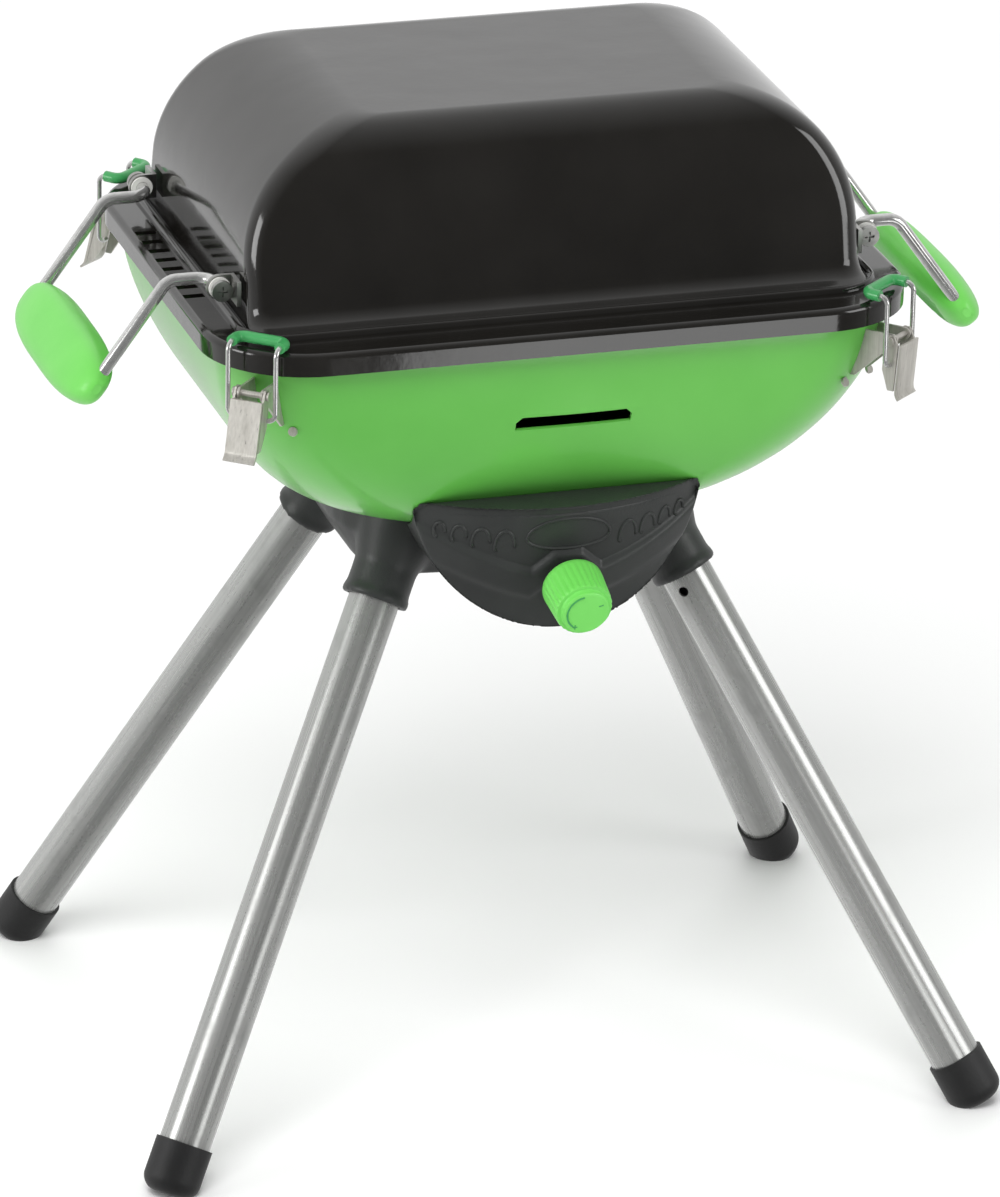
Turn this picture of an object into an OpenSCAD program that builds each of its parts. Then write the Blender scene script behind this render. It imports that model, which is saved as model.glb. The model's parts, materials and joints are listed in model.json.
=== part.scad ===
/* [Cooking box] */
// Length of the rim frame from side to side
rim_w = 346; // [330:1:380]
// Depth of the rim frame from front to back
rim_d = 274; // [262:1:300]
// Plan radius of the rim frame's corners
rim_r = 50; // [44:1:56]
// Height of the rim frame's outer band
rim_h = 11; // [9:0.5:14]
// Height of the band's lower edge above the ground
rim_z = 402; // [390:1:430]
// Thickness of the enamelled steel sheet
sheet = 1.6; // [1.2:0.1:2]
// Depth of the bowl below the band
bowl_depth = 105; // [95:1:115]
// How far the bowl's wall stands inside the band
bowl_inset = 9; // [7:0.5:12]
// How far the bowl's wall curves in from its top to its floor
bowl_curve = 60; // [50:1:66]
// the end walls curve in by this multiple of the long walls' curve
bowl_ends = 1.45; // [1:0.05:1.5]
// Width of the vents in each side flange
vent_w = 12; // [8:0.5:13]
// Number of vents in each side flange
vent_n = 8; // [5:1:10]

/* [Lid] */
// Length of the lid
lid_w = 302; // [284:1:308]
// Depth of the lid at its base
lid_d = 204; // [180:1:210]
// Height of the lid
lid_h = 90; // [75:1:110]
// Radius of the lid's rounded shoulders, seen from the front
lid_shoulder = 64; // [50:1:70]
// Radius between the lid's top and its front and back faces
lid_edge = 18; // [12:1:24]
// How far the front and back faces lean in over the lid's height
lid_lean = 21; // [10:1:24]
// How far the front and back of the lid flare out at the base
lid_flare = 9; // [6:0.5:10]

/* [Handles] */
// Diameter of the handle wire
wire_d = 6; // [5:0.25:7]
// Distance between a handle's two arms
arm_gap = 118; // [108:1:126]
// Distance between the two ears that hold a handle
ear_gap = 146; // [140:1:160]
// Distance from the lid's end to a handle's pivot
pivot_out = 9; // [8:0.5:12]
// Height of a handle's pivot above the rim frame
pivot_up = 14; // [12:0.5:18]
// How far an arm runs level before it bends down
arm_level = 21; // [18:0.5:26]
// Length of an arm below its bend
arm_drop = 62; // [52:1:68]
// Angle of the arm below its bend
arm_angle = 54; // [45:1:65]
// Length of a grip
grip_l = 130; // [120:1:140]
// Width of a grip across its palm face
grip_w = 32; // [28:1:36]
// Thickness of a grip
grip_t = 22; // [18:1:24]

/* [Legs] */
// Diameter of the leg tubes
leg_d = 25; // [22:0.5:28]
// Wall of the leg tubes
leg_wall = 1.5; // [1:0.1:2]
// Angle of the legs from vertical
leg_splay = 32.2; // [26:0.1:36]
// Direction of the legs in plan, from the side axis
leg_azimuth = 37.5; // [34:0.5:44]
// Distance from the middle to the mouth of a leg socket
socket_out = 99; // [92:1:104]
// Height of the mouth of a leg socket
socket_z = 255; // [244:1:262]
// How deep a leg plugs into its socket
socket_depth = 40; // [34:1:44]
// Wall of a leg socket
socket_wall = 3; // [2.5:0.1:4]
// Diameter of a rubber foot
foot_d = 28; // [27.5:0.5:34]
// Length of tube that a rubber foot covers
foot_cover = 14; // [10:1:18]

/* [Controls] */
// Half width of the control fascia
fascia_r = 72; // [62:1:74]
// Height of the fascia's top edge above its lowest point
fascia_h = 67; // [60:1:70]
// Distance from the middle to the front of the fascia
fascia_out = 120; // [114:1:126]
// Diameter of the knob
knob_d = 30; // [26:1:36]
// Length of the knob
knob_l = 24; // [20:1:28]
// How far the knob's axis tips down
knob_tilt = 13.5; // [8:0.5:18]
// Diameter of the valve stem
stem_d = 6; // [5:0.5:8]

/* [Latches] */
// Where a latch stands on a corner's arc, from the side axis
latch_angle = 50; // [42:1:60]
// Width of a latch lever
lever_w = 16; // [14:1:20]
// Length of a latch lever below its pin
lever_l = 31; // [26:1:34]
// Distance from a lever's pin to the loop's pivot
throw = 12; // [9:0.5:14]
// Diameter of the latch wire
loop_d = 2.4; // [2:0.1:3]
// Diameter of a latch pin
pin_d = 3; // [2.5:0.1:3.5]

/* [Hidden] */
$fn = 48;
SIDES = ["front_left", "front_right", "back_left", "back_right"];
ENDS = ["left", "right"];

fit = 0.05;          // radial clearance of a shaft in its bore
gap = 0.3;           // space between pieces that move past each other
seat = 0.1;          // space between fixed pieces that lie on each other
eps = 0.01;          // thickness of a slab that a hull starts from
weld_l = 0.6;        // length of the collar where a wire's straight meets its bend
weld_r = 0.03;       // how far that collar stands proud of the wire
through = 1;         // how far a cut runs past the face it opens

rim_a = rim_w/2;
rim_b = rim_d/2;
rim_top = rim_z + rim_h;
arc_x = rim_a - rim_r;
arc_y = rim_b - rim_r;

bowl_a = rim_a - bowl_inset;
bowl_b = rim_b - bowl_inset;
bowl_r = rim_r - bowl_inset;
bowl_round = 20;     // how much the corner radius grows towards the floor
bowl_power = 1.75;   // fullness of the bowl's side curve
bowl_floor = rim_z - bowl_depth;
flange_w = bowl_inset - sheet - seat;
flange_z = rim_top - sheet - seat - sheet;
slot_w = 57;
slot_h = 7;
slot_z = rim_z - 37;
slot_corner = 3;

lid_a = lid_w/2;
lid_b = lid_d/2;
lid_r = 12;          // plan radius of the lid's corners
lid_wall = 1.5;
lid_z = rim_top + gap;
lip = 1.5;
flare_h = 10;
flare_side = 0.15;   // the end walls flare by this share of the faces' flare
flare_x = lid_flare*flare_side;
lid_steps = 12;
bowl_steps = 10;

opening_a = lid_a - lid_wall - 2;
opening_b = lid_b - lid_wall - 2;
opening_r = 12;
ridge_a = lid_a + 7;
ridge_b = lid_b + lid_flare + 5;
ridge_w = 2.5;
ridge_h = 3;
ledge_z = rim_z + 1;
vent_pitch = 13;
vent_l = 5;

grate_room = 5;       // space between the grate and the opening's wall
rod_r = 2.5;
ledge_w = grate_room + 2*rod_r + 1;
bar_r = 2;
bar_n = 21;
grate_z = ledge_z + sheet + gap;
grate_a = opening_a - grate_room;
grate_b = opening_b - grate_room;
grate_r = 22;

burner_r = 38;
burner_h = 12;
burner_z = bowl_floor + 36;
tube_r = 11;
tube_wall = 1.5;
throat_r = 20;
deflector_z = rim_z - 36;

wire_r = wire_d/2;
pivot_x = lid_a + pivot_out;
pivot_z = rim_top + pivot_up;
arm_y = arm_gap/2;
ear_y = ear_gap/2;
ear_t = 2;
wire_bend = 9;
washer_t = 1.2;
washer_r = pivot_x - lid_a - flare_x - seat - ear_t - gap;
stub_end = 5;        // how far a pivot stub runs past the middle of its ear
grip_x = pivot_x + arm_level + arm_drop*cos(arm_angle);
grip_z = pivot_z - arm_drop*sin(arm_angle);

leg_r = leg_d/2;
socket_r = leg_r + fit + socket_wall;
foot_r = foot_d/2;
foot_floor = 3;
leg_run = (socket_z - foot_r*sin(leg_splay))/cos(leg_splay) - foot_floor;
lip_h = 4;
hole_r = 2.5;
hole_drop = 7;
// the button hole faces this way round the leg, and the other way on the front left leg
hole_turn = 90;

housing_a = 92;
housing_b = 70;
housing_r = 48;
housing_top = bowl_floor - seat;
housing_h = 33;
housing_wall = 3;
housing_taper = 14;
housing_rise = 4;
inlet_r = 12.7;
inlet_collar = 21;
inlet_z = housing_top - housing_h - 14;
inlet_depth = 14;

fascia_low = 254;
fascia_back = 74;
fascia_wall = 3;
fascia_bow = 115;
fascia_mid_z = 285;
fascia_tab_x = 56;
fascia_tab_z = housing_top - 14;
valve_y = 98;
valve_l = 22;
valve_w = 22;
valve_half = 8;
knob_z = 276;
knob_face_y = 150;
knob_back_y = knob_face_y - knob_l*cos(knob_tilt);
stem_gap = 1;
pipe_r = 3;
pipe_bend = 8;
pipe_in = 3.5;          // how far the pipe sits in the fitting at each end
pipe_z = housing_top - housing_h + housing_wall + pipe_r + 2*gap;
pipe_start = inlet_collar - 5 - pipe_in;
pipe_top = knob_z + (knob_face_y - valve_y)*tan(knob_tilt) - valve_half + pipe_in;
seal_r = 1;
seal_out = inlet_r - 2.2;
jet_z = housing_top - 22;

screw_x = 46;
screw_y = 22;
screw_r = 2;
screw_head_r = 4;
screw_sink = 3;
screw_head_h = 2.4;

deflector_a = 100;
deflector_b = 62;
deflector_h = 9;
deflector_leg_x = 60;
deflector_leg_y = 34;
deflector_leg_z = bowl_floor + sheet + seat;

latch_r = rim_r + 6;
latch_z = rim_z - 8;
cheek_t = 1.2;
bracket_w = lever_w - 2*cheek_t - 2*gap;
lever_t = 1.2;
lever_face = 5;      // from the pin's middle to the lever's outer face
loop_r = loop_d/2;
loop_half = lever_w/2 + loop_r + 3;
loop_z = rim_top + gap + 2*loop_r + 1.4;
loop_in = 12;
sleeve_r = loop_r + 1.5;
loop_bend = 4;
loop_across = 2*(loop_half - loop_bend);
loop_inward = loop_in - 2*loop_bend;
loop_upward = loop_z - latch_z + throw - 2*loop_bend;
loop_stub = loop_half - lever_w/2 + cheek_t + 0.6;

// Outline of a rounded rectangle with half sizes a and b; the corners never reach past its middle
function rounded(a, b, corner, n = 8) = let (r = min(corner, min(a, b) - 2*eps)) [for (q = [0:3], i = [0:n])
    let (t = 90*(q + i/n), sx = (q == 0 || q == 3) ? 1 : -1, sy = q < 2 ? 1 : -1)
    [sx*(a - r) + r*cos(t), sy*(b - r) + r*sin(t)]];

// How far the bowl's wall has curved in at a share s of its depth
function bowl_in(s) = bowl_curve*(1 - pow(1 - pow(s, bowl_power), 1/bowl_power));

// Half depth of the lid at height h: a leaning face, then the rounded edge
function lid_half(h) = lid_b - lid_lean*h/lid_h
    - (h > lid_h - lid_edge ? lid_edge - sqrt(max(0, lid_edge*lid_edge - pow(h - lid_h + lid_edge, 2))) : 0);

// A thin slab with rounded corners, for hulls
module slab(a, b, r, z) { translate([0, 0, z]) linear_extrude(eps) polygon(rounded(a, b, r)); }

// A plate with true round corners
module plate(a, b, r, z, h) {
    translate([0, 0, z]) linear_extrude(h) {
        square([2*a, 2*(b - r)], center = true);
        square([2*(a - r), 2*b], center = true);
        for (x = [-1, 1], y = [-1, 1]) translate([x*(a - r), y*(b - r)]) circle(r);
    }
}

// A flat ring between two rounded outlines
module ring(a, b, r, w, z, h) {
    difference() {
        plate(a, b, r, z, h);
        plate(a - w, b - w, max(r - w, 2), z - through, h + 2*through);
    }
}

// A level loop of points at height z
function loop_at(a, b, r, z) = [for (p = rounded(a, b, r)) [p[0], p[1], z]];

// A closed skin over a stack of loops, with a flat cap on the first and the last
module skin(rings) {
    n = len(rings[0]);
    last = len(rings) - 1;
    polyhedron(points = [for (ring = rings, p = ring) p], faces = concat(
        [[for (j = [0:n - 1]) j], [for (j = [n - 1:-1:0]) last*n + j]],
        [for (i = [0:last - 1], j = [0:n - 1]) [i*n + j, (i + 1)*n + j, (i + 1)*n + (j + 1)%n]],
        [for (i = [0:last - 1], j = [0:n - 1]) [i*n + j, (i + 1)*n + (j + 1)%n, i*n + (j + 1)%n]]));
}

// Loops up the bowl's side from its floor to the band, grown by a distance
function bowl_loops(grow) = [for (i = [bowl_steps:-1:0]) let (s = sin(90*i/bowl_steps))
    loop_at(bowl_a + grow - bowl_ends*bowl_in(s), bowl_b + grow - bowl_in(s), bowl_r + grow + bowl_round*s,
        rim_z - (bowl_depth + grow)*s)];

// The bowl's body as a solid, grown by a distance
module bowl_body(grow) {
    skin(concat(bowl_loops(grow), [loop_at(bowl_a + grow, bowl_b + grow, bowl_r + grow, rim_top)]));
}

// How far the lid's base stands out at height h: a lip, then a cove
function flare(h) = h <= lip ? lid_flare : h >= flare_h ? 0
    : lid_flare*(1 - sqrt(1 - pow((flare_h - h)/(flare_h - lip), 2)));

// A loop of the lid's wall at height h, drawn in by a distance
function lid_loop(h, x_in, shrink) = loop_at(lid_a + flare(h)*flare_side - x_in - shrink,
    lid_half(h) + flare(h) - shrink, lid_r - shrink*0.5, lid_z + h);

// Loops up the lid from its base to its top, drawn in by a distance
function lid_loops(shrink) = concat(
    [for (h = [0, lip, lip + (flare_h - lip)/4, (lip + flare_h)/2, flare_h]) lid_loop(h, 0, shrink)],
    [for (i = [0:lid_steps]) let (t = 90*i/lid_steps)
        lid_loop(lid_h - shrink - (lid_shoulder - shrink)*(1 - sin(t)),
            (lid_shoulder - shrink)*(1 - cos(t)), shrink)]);

// A hair-thin collar that joins a straight length of wire to a bend
module weld(r) { rotate([0, 90, 0]) cylinder(h = weld_l, r = r + weld_r, center = true); }

// A bent wire along +X: each step is [straight length, roll, bend angle]
module bent_wire(steps, r, bend, i = 0) {
    if (i < len(steps)) {
        a = steps[i][2];
        rotate([0, 90, 0]) cylinder(h = steps[i][0], r = r);
        if (i > 0) weld(r);
        translate([steps[i][0], 0, 0]) rotate([steps[i][1], 0, 0]) {
            if (a > 0) weld(r);
            if (a > 0) translate([0, bend, 0]) rotate([0, 0, -90]) rotate_extrude(angle = a)
                translate([bend, 0]) circle(r);
            translate([bend*sin(a), bend*(1 - cos(a)), 0]) rotate([0, 0, a]) bent_wire(steps, r, bend, i + 1);
        }
    }
}

// Puts a piece drawn for the front left corner at any corner
module at_corner(side) {
    mirror([side == "front_right" || side == "back_right" ? 1 : 0, 0, 0])
        mirror([0, side == "back_left" || side == "back_right" ? 1 : 0, 0]) children();
}

// Puts a piece drawn for the right end at either end
module at_end(end) { mirror([end == "left" ? 1 : 0, 0, 0]) children(); }

// The frame of the front left latch: +X out from the bowl, +Z up, origin at the lever's pin
module at_latch() {
    translate([-arc_x, -arc_y, 0]) rotate([0, 0, 180 + latch_angle]) translate([latch_r, 0, latch_z])
        children();
}

// The frame of the front left leg: +Z down the leg, origin at the socket's mouth
module at_leg() {
    translate([-socket_out*cos(leg_azimuth), -socket_out*sin(leg_azimuth), socket_z])
        rotate([0, 0, 180 + leg_azimuth]) rotate([0, 180 - leg_splay, 0]) children();
}

// The frame of the control axis: +Z out along the knob, origin at a distance along Y
module on_stem(y) {
    translate([0, -y, knob_z + (knob_face_y - y)*tan(knob_tilt)]) rotate([90 + knob_tilt, 0, 0]) children();
}

module fire_bowl() {
    lip_a = bowl_a + flange_w;
    lip_b = bowl_b + flange_w;
    inner = bowl_loops(-sheet);
    color("#6cc355") difference() {
        skin(concat(bowl_loops(0), [loop_at(bowl_a, bowl_b, bowl_r, flange_z),
            loop_at(lip_a, lip_b, bowl_r + flange_w, flange_z),
            loop_at(lip_a, lip_b, bowl_r + flange_w, flange_z + sheet),
            loop_at(bowl_a - sheet, bowl_b - sheet, bowl_r - sheet, flange_z + sheet)],
            [for (i = [bowl_steps:-1:0]) inner[i]]));
        translate([0, 0, bowl_floor - through]) cylinder(h = sheet + 2*through, r = throat_r);
        translate([0, -bowl_b + 12, slot_z]) rotate([90, 0, 0]) linear_extrude(2*bowl_inset + 12)
            polygon([[-slot_w/2, -slot_h/2], [slot_w/2, -slot_h/2], [slot_w/2, slot_h/2 - slot_corner],
                [slot_w/2 - slot_corner, slot_h/2], [slot_corner - slot_w/2, slot_h/2],
                [-slot_w/2, slot_h/2 - slot_corner]]);
        for (x = [-1, 1], y = [-1, 1]) translate([x*screw_x, y*screw_y, bowl_floor - through])
            cylinder(h = sheet + 2*through, r = screw_r + seat);
    }
}

module rim_frame() {
    color("#232422") difference() {
        union() {
            ring(rim_a, rim_b, rim_r, sheet, rim_z, rim_h);
            plate(rim_a, rim_b, rim_r, rim_top - sheet, sheet);
            ring(ridge_a, ridge_b, lid_r + 12, ridge_w, rim_top - eps, ridge_h);
            plate(opening_a + sheet, opening_b + sheet, opening_r + sheet, ledge_z, rim_top - ledge_z);
        }
        plate(opening_a, opening_b, opening_r, ledge_z + sheet, rim_h + through);
        plate(opening_a - ledge_w, opening_b - ledge_w, opening_r, ledge_z - through, rim_h);
        for (x = [-1, 1], i = [0:vent_n - 1])
            translate([x*(ridge_a + rim_a - sheet)/2, vent_pitch*(i - (vent_n - 1)/2), rim_top])
                cube([vent_w, vent_l, 4*sheet], center = true);
    }
}

module cooking_grate() {
    a = grate_a - rod_r;
    b = grate_b - rod_r;
    color("#b8b8b4") translate([0, 0, grate_z + rod_r]) {
        for (y = [-1, 1]) translate([-(a - grate_r), y*b, 0]) rotate([0, 90, 0])
            cylinder(h = 2*(a - grate_r), r = rod_r);
        for (x = [-1, 1]) translate([x*a, b - grate_r, 0]) rotate([90, 0, 0])
            cylinder(h = 2*(b - grate_r), r = rod_r);
        for (q = [0:3])
            translate([(q == 0 || q == 3 ? 1 : -1)*(a - grate_r), (q < 2 ? 1 : -1)*(b - grate_r), 0])
                rotate([0, 0, 90*q]) rotate_extrude(angle = 90) translate([grate_r, 0]) circle(rod_r);
        for (i = [0:bar_n - 1]) translate([2*(a - grate_r)*(i/(bar_n - 1) - 0.5), b, 0]) rotate([90, 0, 0])
            cylinder(h = 2*b, r = bar_r);
        for (y = [-1, 1]) translate([-a, y*b/3, 1 - bar_r]) rotate([0, 90, 0])
            cylinder(h = 2*a, r = bar_r - 0.5);
    }
}

module heat_deflector() {
    color("#8f918e") translate([0, 0, deflector_z]) {
        difference() {
            hull() {
                slab(deflector_a, deflector_b, 20, 0);
                slab(deflector_a - 20, deflector_b - 20, 12, deflector_h);
            }
            translate([0, 0, -sheet]) hull() {
                slab(deflector_a - 2, deflector_b - 2, 20, 0);
                slab(deflector_a - 22, deflector_b - 22, 12, deflector_h);
            }
            for (i = [-3:3], y = [-1, 1]) translate([20*i, y*26, 0]) cylinder(h = 20, r = 4);
        }
        for (x = [-1, 1], y = [-1, 1])
            translate([x*deflector_leg_x, y*deflector_leg_y, deflector_leg_z - deflector_z])
                cylinder(h = deflector_z - deflector_leg_z + deflector_h - 0.8, r = 3);
    }
}

module burner_cap() {
    color("#c9a24a") difference() {
        translate([0, 0, burner_z + seat]) cylinder(h = burner_h, r = burner_r);
        translate([0, 0, burner_z - through]) cylinder(h = burner_h - 2, r = burner_r - 2.5);
        for (i = [0:23]) rotate([0, 0, 15*i]) translate([burner_r - 5, 0, burner_z + burner_h/2])
            rotate([0, 90, 0]) cylinder(h = 8, r = 1.5, $fn = 24);
    }
}

module burner_tube() {
    low = housing_top - 8;
    color("#a8aaa6") difference() {
        union() {
            translate([0, 0, low]) cylinder(h = burner_z - low, r = tube_r);
            translate([0, 0, burner_z - 2]) cylinder(h = 2, r = burner_r);
            translate([0, 0, bowl_floor + sheet + seat]) cylinder(h = 2, r = throat_r + 6);
        }
        translate([0, 0, low - through]) cylinder(h = burner_z - low + 2*through, r = tube_r - tube_wall);
        for (a = [0:90:270]) rotate([0, 0, a + 45]) translate([tube_r - 4, 0, bowl_floor + 14])
            rotate([0, 90, 0]) cylinder(h = 8, r = 4);
    }
}

module gas_jet() {
    color("#c8a648") difference() {
        union() {
            translate([0, 0, jet_z]) cylinder(h = 12, r = 4);
            translate([0, 0, jet_z]) cylinder(h = 5, r = 6, $fn = 6);
        }
        translate([0, 0, jet_z + 6]) cylinder(h = 12, r = 0.6);
    }
}

module leg_housing() {
    color("#303231") difference() {
        union() {
            hull() {
                slab(housing_a, housing_b, housing_r, housing_top - 10);
                slab(housing_a - housing_taper, housing_b - housing_taper, housing_r - housing_taper,
                    housing_top - housing_h);
            }
            translate([0, 0, housing_top - 10]) linear_extrude(10 + housing_rise)
                polygon(rounded(housing_a, housing_b, housing_r));
            translate([0, 0, inlet_z])
                cylinder(h = housing_top - housing_h - inlet_z + 2, r = inlet_collar + 4);
            for (s = SIDES) at_corner(s) at_leg() {
                translate([0, 0, -socket_depth - socket_wall])
                    cylinder(h = socket_depth + socket_wall, r = socket_r);
                translate([0, 0, -lip_h]) cylinder(h = lip_h, r = socket_r + 1);
                translate([0, 0, -socket_depth - socket_wall])
                    cylinder(h = socket_depth - 14, r1 = socket_r + 9, r2 = socket_r - 0.2);
            }
        }
        difference() {
            hull() {
                slab(housing_a - housing_wall, housing_b - housing_wall, housing_r,
                    housing_top + housing_rise + through);
                slab(housing_a - housing_taper - housing_wall, housing_b - housing_taper - housing_wall,
                    housing_r - housing_taper, housing_top - housing_h + housing_wall);
            }
            for (s = SIDES) at_corner(s) {
                at_leg() translate([0, 0, -socket_depth - socket_wall])
                    cylinder(h = socket_depth + socket_wall, r = socket_r);
                translate([-screw_x, -screw_y, 0]) cylinder(h = housing_top, r = screw_head_r + 2);
            }
        }
        for (s = SIDES) at_corner(s) {
            at_leg() translate([0, 0, -socket_depth]) cylinder(h = socket_depth + through, r = leg_r + fit);
            translate([-screw_x, -screw_y, 0]) {
                cylinder(h = housing_top + through, r = screw_r + seat);
                cylinder(h = housing_top - housing_h + screw_sink, r = screw_head_r + seat);
            }
        }
        translate([0, 0, inlet_z - through]) cylinder(h = housing_h, r = inlet_collar + seat);
        translate([-valve_w/2 - 6, -housing_b - through, housing_top - housing_h + housing_wall])
            cube([valve_w + 12, housing_wall + 2*housing_taper, housing_h]);
        bowl_body(seat);
    }
}

// Outline of the fascia seen from the front, a disc cut off level at the top
module fascia_outline(shrink) {
    intersection() {
        translate([0, fascia_low + fascia_r]) circle(fascia_r - shrink, $fn = 96);
        translate([-fascia_r, fascia_low]) square([2*fascia_r, fascia_h - shrink]);
    }
}

// The space behind the fascia's bowed front, drawn in by a distance
module fascia_front(shrink) {
    translate([0, -fascia_out, fascia_mid_z]) rotate([knob_tilt, 0, 0]) translate([0, fascia_bow, -fascia_r])
        cylinder(h = 2*fascia_r, r = fascia_bow - shrink, $fn = 128);
}

// A solid of the fascia's outline, from its back edge forwards
module fascia_block(shrink, back) {
    intersection() {
        translate([0, -back, 0]) rotate([90, 0, 0]) linear_extrude(fascia_out) fascia_outline(shrink);
        fascia_front(shrink);
    }
}

module control_fascia() {
    color("#2d2f2e") difference() {
        union() {
            difference() {
                fascia_block(0, fascia_back);
                fascia_block(fascia_wall, fascia_back - through);
            }
            intersection() {
                fascia_block(0, fascia_back);
                for (x = [-1, 1]) translate([x*fascia_tab_x, -fascia_back - 30, fascia_tab_z])
                    rotate([90, 0, 0]) cylinder(h = fascia_out, r = 5);
            }
        }
        bowl_body(2);
        on_stem(valve_y) cylinder(h = fascia_out, r = stem_d/2 + stem_gap);
        for (s = [-1, 1]) mirror([s < 0 ? 1 : 0, 0, 0]) at_corner("front_right") at_leg()
            translate([0, 0, -socket_depth - 2*socket_wall]) cylinder(h = 2*socket_depth, r = socket_r + 9.5);
    }
}

module regulator_body() {
    color("#9a9c98") difference() {
        union() {
            translate([0, 0, inlet_z]) cylinder(h = inlet_depth + 6, r = inlet_collar);
            translate([0, 0, inlet_z + inlet_depth])
                cylinder(h = jet_z - inlet_z - inlet_depth - seat, r = inlet_collar - 5);
        }
        translate([0, 0, inlet_z - through]) cylinder(h = inlet_depth + through, r = inlet_r);
        translate([0, 0, inlet_z]) cylinder(h = jet_z, r = 1.5);
        translate([0, 0, inlet_z + inlet_depth - 1]) rotate_extrude()
            translate([seal_out - seal_r - seat, 0]) square([2*(seal_r + seat), 2*(seal_r + seat) + 1]);
        translate([0, -pipe_start, pipe_z]) rotate([90, 0, 0]) cylinder(h = inlet_collar, r = pipe_r + fit);
    }
}

module inlet_seal() {
    color("#1c1c1c") translate([0, 0, inlet_z + inlet_depth + seat + seal_r]) rotate_extrude()
        translate([seal_out, 0]) circle(seal_r);
}

module supply_pipe() {
    color("#b87b4b") translate([0, -pipe_start - seat, pipe_z]) rotate([0, 0, -90]) bent_wire(
        [[valve_y - pipe_start - seat - pipe_bend, 90, 90], [pipe_top - pipe_z - pipe_bend - seat, 0, 0]],
        pipe_r, pipe_bend);
}

module gas_valve() {
    color("#c2a04c") difference() {
        on_stem(valve_y - valve_l/2) difference() {
            union() {
                translate([-valve_w/2, -valve_half, 0]) cube([valve_w, 2*valve_half, valve_l - 4]);
                cylinder(h = valve_l, r = valve_half - 1);
            }
            translate([0, 0, valve_l - 14]) cylinder(h = 20, r = stem_d/2 + fit);
        }
        translate([0, -valve_y, pipe_z]) cylinder(h = pipe_top - pipe_z, r = pipe_r + fit);
    }
}

module valve_stem() {
    color("#b9bab5") on_stem(valve_y - valve_l/2) translate([0, 0, valve_l - 13.5]) difference() {
        cylinder(h = (knob_face_y - valve_y + valve_l/2)/cos(knob_tilt) - valve_l + 13.5 - 6, r = stem_d/2);
        translate([stem_d/2 - 1.5, -stem_d, knob_back_y - valve_y]) cube([stem_d, 2*stem_d, 60]);
    }
}

module control_knob() {
    l = knob_l - 3;
    color("#70d258") on_stem(knob_back_y) difference() {
        union() {
            cylinder(h = l, r1 = knob_d/2, r2 = knob_d/2 - 1.2, $fn = 96);
            translate([0, 0, l]) cylinder(h = 3, r = knob_d/2 - 4);
            for (i = [0:31]) rotate([0, 0, 11.25*i]) translate([knob_d/2 - 0.8, 0, 3])
                cylinder(h = l - 4, r = 0.9, $fn = 16);
        }
        translate([0, 0, -through]) difference() {
            cylinder(h = knob_l - 8, r = knob_d/2 - 3);
            cylinder(h = knob_l, r = stem_d/2 + 2.5);
        }
        translate([0, 0, -through]) cylinder(h = knob_l - 6 + through + seat, r = stem_d/2 + fit);
    }
}

module housing_screws() {
    color("#8e8f8b") for (s = SIDES) at_corner(s)
        translate([-screw_x, -screw_y, housing_top - housing_h + screw_sink]) {
        cylinder(h = housing_h - screw_sink + sheet + 3, r = screw_r);
        difference() {
            translate([0, 0, -screw_head_h]) cylinder(h = screw_head_h, r = screw_head_r);
            translate([0, 0, -screw_head_h - through]) for (a = [0, 90]) rotate([0, 0, a])
                cube([4.4, 1, 4], center = true);
        }
    }
}

// Distance along the latch's +X from its pin to the bowl's wall at height z above the pin
function wall_x(z) = let (s = (rim_z - latch_z - z)/bowl_depth)
    bowl_r + bowl_round*s - latch_r - (bowl_ends*bowl_in(s) + bowl_round*s)*cos(latch_angle)
        - (bowl_in(s) + bowl_round*s)*sin(latch_angle);

RIVETS = [[-11, -25], [11, -25], [0, -12]];

module latch_rivets() {
    color("#a8a498") for (s = SIDES) at_corner(s) at_latch() for (p = RIVETS)
        translate([wall_x(p[1]) + 2.6, p[0], p[1]]) rotate([0, 62, 0]) cylinder(h = 1.4, r = 2.2);
}

module latch_bracket(side) {
    color("#96938a") at_corner(side) difference() {
        union() {
            at_latch() for (y = [-1, 1]) translate([0, y*(bracket_w - cheek_t)/2, 0]) rotate([90, 0, 0])
                translate([0, 0, -cheek_t/2]) linear_extrude(cheek_t) union() {
                    circle(pin_d/2 + 1.4);
                    polygon([[0, pin_d/2 + 1.4], [-26, 2], [-32, -22], [-20, -22], [0, -pin_d/2 - 1.4]]);
                }
            intersection() {
                bowl_body(seat + cheek_t);
                at_latch() translate([-40, 0, 0]) rotate([90, 0, 90]) linear_extrude(60)
                    polygon([[-9, 4], [9, 4], [16, -20], [14, -30], [-14, -30], [-16, -20]]);
            }
        }
        bowl_body(seat);
        at_latch() rotate([90, 0, 0]) cylinder(h = lever_w, r = pin_d/2 + fit, center = true);
    }
}

module latch_pin(side) {
    color("#b5b2a8") at_corner(side) at_latch() rotate([90, 0, 0]) {
        cylinder(h = lever_w + 1, r = pin_d/2, center = true);
        for (y = [-1, 1]) translate([0, 0, y*(lever_w/2 + 0.9)])
            cylinder(h = 1, r = pin_d/2 + 0.8, center = true);
    }
}

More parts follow.
